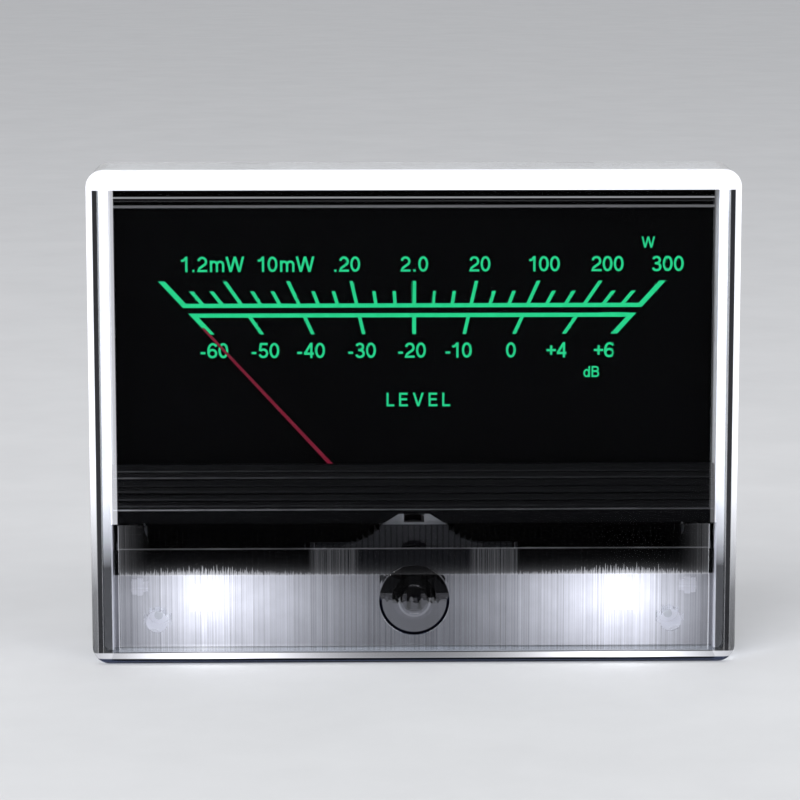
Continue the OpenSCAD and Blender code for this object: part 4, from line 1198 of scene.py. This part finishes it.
def own_finishes() -> dict[str, tuple[str, object]]:
    """The nodes that are seen apart from the rest of their slot.

    Returns:
        A finish, with its name, for each such node.
    """
    blackened = Metal((0.02, 0.02, 0.022), rough=0.5, tarnish=(0.02, 0.018, 0.016))
    return {
        "zero_adjuster": ("clear_knob", KnobMoulding()),
        # trim screws: painted shade above a height and painted lamp light below
        "trim_screws": (
            "trim_screw_steel",
            Metal((0.3, 0.3, 0.33), rough=0.5, painted_shade_above=-30.0 * MM, light=LampLight(ground=0.0)),
        ),
        # cover screws: a grey plastic look with painted lamp light
        "cover_screws": (
            "cover_screws_lamp_glow",
            LitMoulding(
                Plastic((0.32, 0.34, 0.34), rough=0.5, dusty=0.0),
                LampLight(power=0.8, ground=0.03), back=-1.5 * MM,
            ),
        ),
        "movement_hood": (
            "hood_black", HoodPlastic((0.0012, 0.0012, 0.0015), rough=0.5, dusty=0.0, gloss=0.03),
        ),
        "core_spacers": ("blackened_spacers", blackened),
        "balance_weights": ("blackened_weights", blackened),
        "front_jewel_screw": ("blackened_jewel", blackened),
        "jewel_lock_nuts": ("blackened_nuts", blackened),
        # adjuster clip: painted shade above a height and painted lamp light below
        "adjuster_clip": (
            "clip_steel",
            Metal(
                (0.3, 0.3, 0.32), rough=0.4, painted_shade_above=-39.0 * MM,
                light=LampLight(power=0.3, ground=0.05),
            ),
        ),
    }


@dataclass
class Shell:
    """The carried-over nodes: each gets its finish, smooth shading and small edge radii."""

    smooth_angle: float = 32.0
    edge: float = 0.12 * MM
    fine_edge: float = 0.05 * MM
    bend: float = 40.0
    plain: tuple[str, ...] = (
        "front_cover", "zero_adjuster", "lamp_leads", "movement_leads", "front_hairspring",
        "rear_hairspring", "scale_marks",
    )
    fine: tuple[str, ...] = (
        "pointer", "dial_plate", "front_pivot", "rear_pivot", "adjuster_clip", "solder_lugs",
        "movement_hood", "lamp_resistors", "balance_cross",
    )
    materials: dict[str, bpy.types.Material] = field(default_factory=dict)

    def build(self) -> None:
        """Dresses every node of the frame."""
        made, own = finishes(), own_finishes()
        for part in frame["record"]["subparts"]:
            slot = part["material_slot"]
            name, finish = own.get(part["node"], (slot, made[slot]))
            if name not in self.materials:
                self.materials[name] = finish.dress(name).data
            self.dress(frame["nodes"][part["node"]], self.materials[name])
        LOG.info("dressed %d nodes in %d finishes", len(frame["nodes"]), len(self.materials))

    def dress(self, node: bpy.types.Object, material: bpy.types.Material) -> None:
        """Gives one node its material, shading and edge radius.

        Args:
            node: the node's object.
            material: its material.
        """
        node.data.materials.clear()
        node.data.materials.append(material)
        node.data.shade_smooth()
        node.data.set_sharp_from_angle(angle=math.radians(self.smooth_angle))
        if node.name in self.plain:
            return
        bevel = node.modifiers.new("edge", "BEVEL")
        bevel.width = self.fine_edge if node.name in self.fine else self.edge
        bevel.segments = 2
        bevel.limit_method = "ANGLE"
        bevel.angle_limit = math.radians(self.bend)
        bevel.use_clamp_overlap = True
        bevel.harden_normals = True


@dataclass(frozen=True)
class Stroke:
    """One stroke of a sign: its centre line, whether it closes, and whether its ends are cut level."""

    line: tuple[Point, ...]
    closed: bool = False
    level: bool = False


@dataclass(frozen=True)
class Sign:
    """One number or letter, drawn for a height of 1: its width, the room after it, its strokes."""

    width: float
    gap: float
    strokes: tuple[Stroke, ...]


def bow(
    middle: Point, across: float, up: float, start: float, end: float, steps: int = 14,
) -> tuple[Point, ...]:
    """Points on an oval.

    Args:
        middle: its middle.
        across: its half width.
        up: its half height.
        start: the first point's angle, in degrees from the right.
        end: the last point's angle.
        steps: how many pieces it has.

    Returns:
        The points.
    """
    turns = [math.radians(start + (end - start) * i / steps) for i in range(steps + 1)]
    return tuple((middle[0] + across * math.cos(turn), middle[1] + up * math.sin(turn)) for turn in turns)


def ring(middle: Point, across: float, up: float, steps: int = 28) -> Stroke:
    """A closed oval stroke.

    Args:
        middle: its middle.
        across: its half width.
        up: its half height.
        steps: how many pieces it has.

    Returns:
        The stroke.
    """
    return Stroke(bow(middle, across, up, 0, 360, steps)[:-1], closed=True)


def upright(x: float, low: float = 0.0, high: float = 1.0) -> Stroke:
    """An upright stroke.

    Args:
        x: where it stands.
        low: its foot.
        high: its top.

    Returns:
        The stroke.
    """
    return Stroke(((x, low), (x, high)))


def level(z: float, left: float, right: float) -> Stroke:
    """A level stroke.

    Args:
        z: its height.
        left: its left end.
        right: its right end.

    Returns:
        The stroke.
    """
    return Stroke(((left, z), (right, z)))


def limb(foot: float, top: float) -> Stroke:
    """A slanting stroke of full height with level ends.

    Args:
        foot: its foot's middle.
        top: its top's middle.

    Returns:
        The stroke.
    """
    return Stroke(((foot, 0.0), (top, 1.0)), level=True)


@dataclass(frozen=True)
class Script:
    """Plain upright lettering, drawn in strokes of one width for a height of 1."""

    stroke: float = 0.145
    sharpest: float = 1.6

    def signs(self) -> dict[str, Sign]:
        """All the signs that the dial needs.

        Returns:
            A sign for each character.
        """
        edge = self.stroke / 2
        top = 1 - edge
        return {
            "0": Sign(0.64, 0.08, (ring((0.32, 0.5), 0.32 - edge, 0.5 - edge),)),
            "1": Sign(0.41, 0.22, (
                upright(0.41 - edge), Stroke(((0.0, 0.73), (0.14, 0.75), (0.24, 0.82), (0.33, 0.97))),
            )),
            "2": Sign(0.64, 0.08, (
                Stroke(
                    bow((0.315, 0.67), 0.315 - edge, 0.33 - edge, 170, -38)
                    + ((0.14, 0.24), (edge, edge), (0.63, edge)),
                ),
            )),
            "3": Sign(0.64, 0.08, (
                Stroke(bow((0.31, 0.725), 0.285 - edge, 0.275 - edge, 163, -88)),
                Stroke(bow((0.32, 0.285), 0.32 - edge, 0.285 - edge + 0.012, 88, -163)),
                level(0.515, 0.21, 0.33),
            )),
            "4": Sign(0.64, 0.08, (
                upright(0.475), Stroke(((0.46, 0.95), (0.07, 0.31))), level(0.29, 0.01, 0.64),
            )),
            "5": Sign(0.64, 0.08, (
                level(top, 0.11, 0.6),
                Stroke(((0.16, top), (0.11, 0.47))),
                Stroke(bow((0.32, 0.32), 0.32 - edge, 0.32 - edge, 142, -162)),
            )),
            "6": Sign(0.64, 0.08, (
                ring((0.325, 0.31), 0.315 - edge, 0.31 - edge),
                Stroke(((edge, 0.31),) + bow((0.36, 0.5), 0.36 - edge, 0.5 - edge, 175, 38)),
            )),
            ".": Sign(0.24, 0.18, (Stroke(((0.1 + edge, 0.0), (0.1 + edge, self.stroke))),)),
            "-": Sign(0.31, 0.13, (level(0.34, 0.0, 0.31),)),
            "+": Sign(0.62, 0.05, (level(0.48, 0.0, 0.62), upright(0.31, 0.17, 0.79))),
            "m": Sign(1.02, 0.09, (
                upright(0.09 + edge, 0.0, 0.74),
                Stroke(bow((0.3525, 0.47), 0.19, 0.2, 180, 0) + ((0.5425, 0.0),)),
                Stroke(bow((0.7475, 0.47), 0.2, 0.2, 180, 0) + ((0.9475, 0.0),)),
            )),
            "W": Sign(1.2, 0.08, (limb(0.32, 0.07), limb(0.32, 0.6), limb(0.88, 0.6), limb(0.88, 1.13))),
            "d": Sign(0.6, 0.1, (ring((0.29, 0.36), 0.29 - edge, 0.37 - edge), upright(0.6 - edge))),
            "B": Sign(0.68, 0.1, (
                upright(edge),
                Stroke(
                    ((edge, top),) + bow((0.38, 0.735), 0.2, top - 0.735, 90, -90)
                    + ((edge, 2 * 0.735 - top),),
                ),
                Stroke(((edge, 0.53),) + bow((0.4, 0.3), 0.21, 0.23, 90, -90) + ((edge, edge),)),
            )),
            "L": Sign(0.56, 0.3, (upright(edge), level(edge, edge, 0.56))),
            "E": Sign(0.64, 0.3, (
                upright(edge), level(top, edge, 0.62), level(0.52, edge, 0.58), level(edge, edge, 0.64),
            )),
            "V": Sign(0.8, 0.3, (limb(0.4, 0.075), limb(0.4, 0.725))),
        }

    def outline(self, stroke: Stroke) -> tuple[list[Point], list[Point]]:
        """Both sides of a stroke.

        Args:
            stroke: the stroke.

        Returns:
            The points along its left and its right side.
        """
        half = self.stroke / 2
        line = [Vector(point) for point in stroke.line]
        if stroke.level:
            slant = (line[1].x - line[0].x) / (line[1].y - line[0].y)
            wide = half * math.hypot(1.0, slant)
            return [(p.x - wide, p.y) for p in line], [(p.x + wide, p.y) for p in line]
        left, right = [], []
        for i, point in enumerate(line):
            before = line[i - 1] if i or stroke.closed else None
            after = line[(i + 1) % len(line)] if i + 1 < len(line) or stroke.closed else None
            pairs = ((before, point), (point, after))
            ways = [(b - a).normalized() for a, b in pairs if a is not None and b is not None]
            way = sum(ways, Vector((0.0, 0.0))).normalized()
            out = Vector((-way.y, way.x))
            reach = half * min(self.sharpest, 1 / max(0.1, way.dot(ways[0])))
            left.append(tuple(point + out * reach))
            right.append(tuple(point - out * reach))
        return left, right


@dataclass(frozen=True)
class Label:
    """One printed number or sign on the dial: its text, its middle, its height and extra spacing."""

    text: str
    x: float
    z: float
    tall: float
    spaced: float = 0.0


@dataclass
class Dial:
    """The lit numbers and signs of the dial, printed just in front of the plate."""

    face_y: float = -8.9 * MM
    print_t: float = 0.08 * MM
    lift: float = 0.004 * MM
    tall: float = 3.2 * MM
    small: float = 2.3 * MM
    title: float = 2.85 * MM
    upper_z: float = 31.15 * MM
    lower_z: float = 13.1 * MM
    script: Script = Script()
    upper: tuple[tuple[str, float], ...] = (
        ("1.2mW", -41.6), ("10mW", -26.4), (".20", -13.9), ("2.0", 0.2),
        ("20", 13.8), ("100", 27.2), ("200", 40.3), ("300", 52.8),
    )
    lower: tuple[tuple[str, float], ...] = (
        ("-60", -41.4), ("-50", -30.8), ("-40", -21.3), ("-30", -10.7), ("-20", -0.3),
        ("-10", 9.4), ("0", 20.3), ("+4", 29.8), ("+6", 39.7),
    )

    def labels(self) -> dict[str, list[Label]]:
        """All that is printed, by piece.

        Returns:
            The labels of each piece.
        """
        return {
            "upper_numbers": [Label(text, x * MM, self.upper_z, self.tall) for text, x in self.upper],
            "lower_numbers": [Label(text, x * MM, self.lower_z, self.tall) for text, x in self.lower],
            "unit_signs": [
                Label("W", 48.7 * MM, 35.6 * MM, self.small),
                Label("dB", 37.1 * MM, 8.5 * MM, self.small, 0.04),
            ],
            "dial_title": [Label("LEVEL", 1.0 * MM, 2.7 * MM, self.title, 0.06)],
        }

    def build(self, material: bpy.types.Material) -> None:
        """Builds each printed piece.

        Args:
            material: the lit green.
        """
        signs = self.script.signs()
        for name, labels in self.labels().items():
            points: list[Colour] = []
            faces: list[tuple[int, ...]] = []
            for label in labels:
                self.letter(label, signs, points, faces)
            mesh = bpy.data.meshes.new(name)
            mesh.from_pydata(points, [], faces)
            mesh.materials.append(material)
            printed = bpy.data.objects.new(name, mesh)
            bpy.context.scene.collection.objects.link(printed)
            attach(printed, "case")
            LOG.info("printed %s", name)

    def letter(
        self, label: Label, signs: dict[str, Sign], points: list[Colour], faces: list[tuple[int, ...]],
    ) -> None:
        """Adds one label as thin solids, centred on its place.

        Args:
            label: what is printed.
            signs: how each character is drawn.
            points: the piece's points, which grow.
            faces: its faces, which grow.
        """
        row = [signs[character] for character in label.text]
        width = sum(sign.width + sign.gap + label.spaced for sign in row) - row[-1].gap - label.spaced
        start = -width / 2
        layer = 0
        for sign in row:
            for stroke in sign.strokes:
                left, right = self.script.outline(stroke)
                front = self.face_y - self.print_t - layer * self.lift
                layer += 1
                self.slab(
                    [self.on_dial(label, start, point) for point in left],
                    [self.on_dial(label, start, point) for point in right],
                    front, stroke.closed, points, faces,
                )
            start += sign.width + sign.gap + label.spaced

    @staticmethod
    def on_dial(label: Label, start: float, point: Point) -> Point:
        """Where a sign's point falls on the dial.

        Args:
            label: the label.
            start: the sign's left end, in heights from the label's middle.
            point: the point, for a height of 1.

        Returns:
            Its X and Z, in metres.
        """
        return label.x + (start + point[0]) * label.tall, label.z + (point[1] - 0.5) * label.tall

    def slab(
        self, left: list[Point], right: list[Point], front: float, closed: bool,
        points: list[Colour], faces: list[tuple[int, ...]],
    ) -> None:
        """Adds one stroke as a closed thin solid.

        Args:
            left: the points of its left side.
            right: the points of its right side.
            front: the Y of its front.
            closed: whether the stroke runs back into itself.
            points: the piece's points, which grow.
            faces: its faces, which grow.
        """
        first = len(points)
        count = len(left)
        for (x, z), (u, w) in zip(left, right):
            points += [(x, front, z), (u, front, w), (u, self.face_y, w), (x, self.face_y, z)]
        for i in range(count if closed else count - 1):
            a, b = first + 4 * i, first + 4 * ((i + 1) % count)
            for side in range(4):
                other = (side + 1) % 4
                faces.append((a + side, b + side, b + other, a + other))
        if not closed:
            last = first + 4 * (count - 1)
            faces.append((first, first + 1, first + 2, first + 3))
            faces.append((last + 3, last + 2, last + 1, last))


@dataclass
class Scale:
    """The two lit bars and their marks, which point at the pivot and end level."""

    face_y: float = -8.9 * MM
    print_t: float = 0.12 * MM
    lift: float = 0.006 * MM
    middle: float = 0.2 * MM
    pivot_z: float = -29.4 * MM
    rise: float = 51.9 * MM
    spacing: float = 2.05 * MM
    bar_w: float = 0.85 * MM
    tick_w: float = 0.7 * MM
    end_w: float = 1.0 * MM
    reach: tuple[float, float] = (0.92, 0.905)
    steps: int = 24
    major: int = 3
    major_rise: float = 5.1 * MM
    minor_rise: float = 3.0 * MM
    low_drop: float = 3.95 * MM
    points: list[Colour] = field(default_factory=list)
    faces: list[tuple[int, ...]] = field(default_factory=list)

    def build(self, material: bpy.types.Material) -> None:
        """Builds the print in place of the plain marks.

        Args:
            material: the lit green.
        """
        low = self.rise - self.spacing
        half = self.bar_w / 2
        left, right = self.reach
        for height in (self.rise, low):
            self.bar(-left * height, right * height, height - half, height + half)
        for i in range(1, self.steps):
            share = 2 * i / self.steps - 1
            slant = share * (right if share > 0 else left)
            rise = self.minor_rise if i % self.major else self.major_rise
            self.mark(slant, self.rise, self.rise + rise, self.tick_w)
            if i % self.major == 0:
                self.mark(slant, low - self.low_drop, low, self.tick_w)
        for slant in (-left, right):
            self.mark(slant, self.rise - half, self.rise + self.major_rise, self.end_w)
            self.mark(slant, low - self.low_drop, low + half, self.end_w)
        mesh = bpy.data.meshes.new("scale_print")
        mesh.from_pydata(self.points, [], self.faces)
        mesh.materials.append(material)
        made = bpy.data.objects.new("scale_print", mesh)
        bpy.context.scene.collection.objects.link(made)
        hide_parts("scale_marks")
        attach(made, "case")
        LOG.info("printed the scale")

    def bar(self, left: float, right: float, low: float, high: float) -> None:
        """Adds a level bar.

        Args:
            left: its left end.
            right: its right end.
            low: its lower edge above the pivot.
            high: its upper edge above the pivot.
        """
        self.solid([(left, low), (right, low), (right, high), (left, high)], 0.0)

    def mark(self, slant: float, low: float, high: float, wide: float) -> None:
        """Adds a mark that points at the pivot.

        Args:
            slant: how far it leans for each unit of height.
            low: its lower end above the pivot.
            high: its upper end above the pivot.
            wide: its width across its own line.
        """
        half = wide / 2 * math.hypot(1.0, slant)
        foot, top = slant * low, slant * high
        corners = [(foot - half, low), (foot + half, low), (top + half, high), (top - half, high)]
        self.solid(corners, self.lift)

    def solid(self, corners: list[Point], lift: float) -> None:
        """Adds one thin closed solid.

        Args:
            corners: its four corners from the left lower one round, above the pivot.
            lift: how much prouder it is printed.
        """
        first = len(self.points)
        for y in (self.face_y - self.print_t - lift, self.face_y):
            self.points += [(self.middle + x, y, self.pivot_z + z) for x, z in corners]
        self.faces.append(tuple(first + i for i in range(4)))
        self.faces.append(tuple(first + 7 - i for i in range(4)))
        for i in range(4):
            other = (i + 1) % 4
            self.faces.append((first + other, first + i, first + 4 + i, first + 4 + other))


@dataclass
class Studio:
    """Camera, floor and soft light."""

    distance: float = 698.0 * MM
    rise: float = 9.21
    turn: float = -1.07
    target: Colour = (0.0, -10.0 * MM, 0.0)
    lens: float = 150.5
    shift: tuple[float, float] = (-13.5 / 800, 12.6 / 800)
    floor_z: float = CAD_BOX[0][2]
    floor_half: float = 6.0
    sky: float = 0.62
    lamp_side: float = 1.0
    lamps: tuple[tuple[str, Colour, float], ...] = (
        ("key", (-0.7, -1.1, 1.2), 16.0), ("fill", (0.9, -0.8, 0.7), 6.0),
    )

    def build(self) -> None:
        """Builds the camera, the floor, the world and the lamps."""
        self.camera()
        self.floor()
        self.world()
        for name, place, power in self.lamps:
            self.lamp(name, place, power)
        bpy.context.scene.view_settings.view_transform = "Standard"
        LOG.info("studio ready")

    def camera(self) -> None:
        """Places the camera where the photograph was taken from."""
        data = bpy.data.cameras.new("camera")
        data.lens = self.lens
        data.shift_x, data.shift_y = self.shift
        data.clip_start, data.clip_end = 0.01, 50
        view = bpy.data.objects.new("camera", data)
        rise, turn = math.radians(self.rise), math.radians(self.turn)
        out = Vector((math.sin(turn) * math.cos(rise), -math.cos(turn) * math.cos(rise), math.sin(rise)))
        view.location = Vector(self.target) + out * self.distance
        view.rotation_euler = (-out).to_track_quat("-Z", "Y").to_euler()
        bpy.context.scene.collection.objects.link(view)
        bpy.context.scene.camera = view

    def floor(self) -> None:
        """Lays a large pale floor with a faint mottle."""
        half = self.floor_half
        corners = [(x * half, y * half, self.floor_z) for x, y in ((-1, -1), (1, -1), (1, 1), (-1, 1))]
        mesh = bpy.data.meshes.new("floor")
        mesh.from_pydata(corners, [], [(0, 1, 2, 3)])
        floor = bpy.data.objects.new("floor", mesh)
        bpy.context.scene.collection.objects.link(floor)
        made = Material("floor")
        mottle = made.graph.spread(made.graph.noise(made.place, 30, 4.0, 0.6), 0.3, 0.7)
        made.set(Base_Color=made.graph.mix(mottle, (0.66, 0.665, 0.68), (0.7, 0.705, 0.72)), Roughness=0.7)
        made.bump(made.graph.noise(made.place, 900, 3.0, 0.6), 0.2, 0.05 * MM)
        mesh.materials.append(made.data)

    def world(self) -> None:
        """Sets a plain pale world."""
        world = bpy.data.worlds.new("studio")
        world.use_nodes = True
        colour = world.node_tree.nodes["Background"].inputs["Color"]
        colour.default_value = (self.sky, self.sky * 1.01, self.sky * 1.03, 1.0)
        bpy.context.scene.world = world

    def lamp(self, name: str, place: Colour, power: float) -> None:
        """Hangs one soft square lamp that looks at the meter.

        Args:
            name: the lamp's name.
            place: where it hangs, in metres.
            power: its power, in watts.
        """
        data = bpy.data.lights.new(name, "AREA")
        data.size = self.lamp_side
        data.energy = power
        lamp = bpy.data.objects.new(name, data)
        lamp.location = place
        lamp.rotation_euler = (Vector(self.target) - Vector(place)).to_track_quat("-Z", "Y").to_euler()
        bpy.context.scene.collection.objects.link(lamp)


def main() -> None:
    shell = Shell()
    shell.build()
    Scale().build(shell.materials["scale_green"])
    Dial().build(shell.materials["scale_green"])
    Studio().build()


if __name__ == "__main__":
    logging.basicConfig(level=logging.INFO, format="%(name)s: %(message)s")
    main()
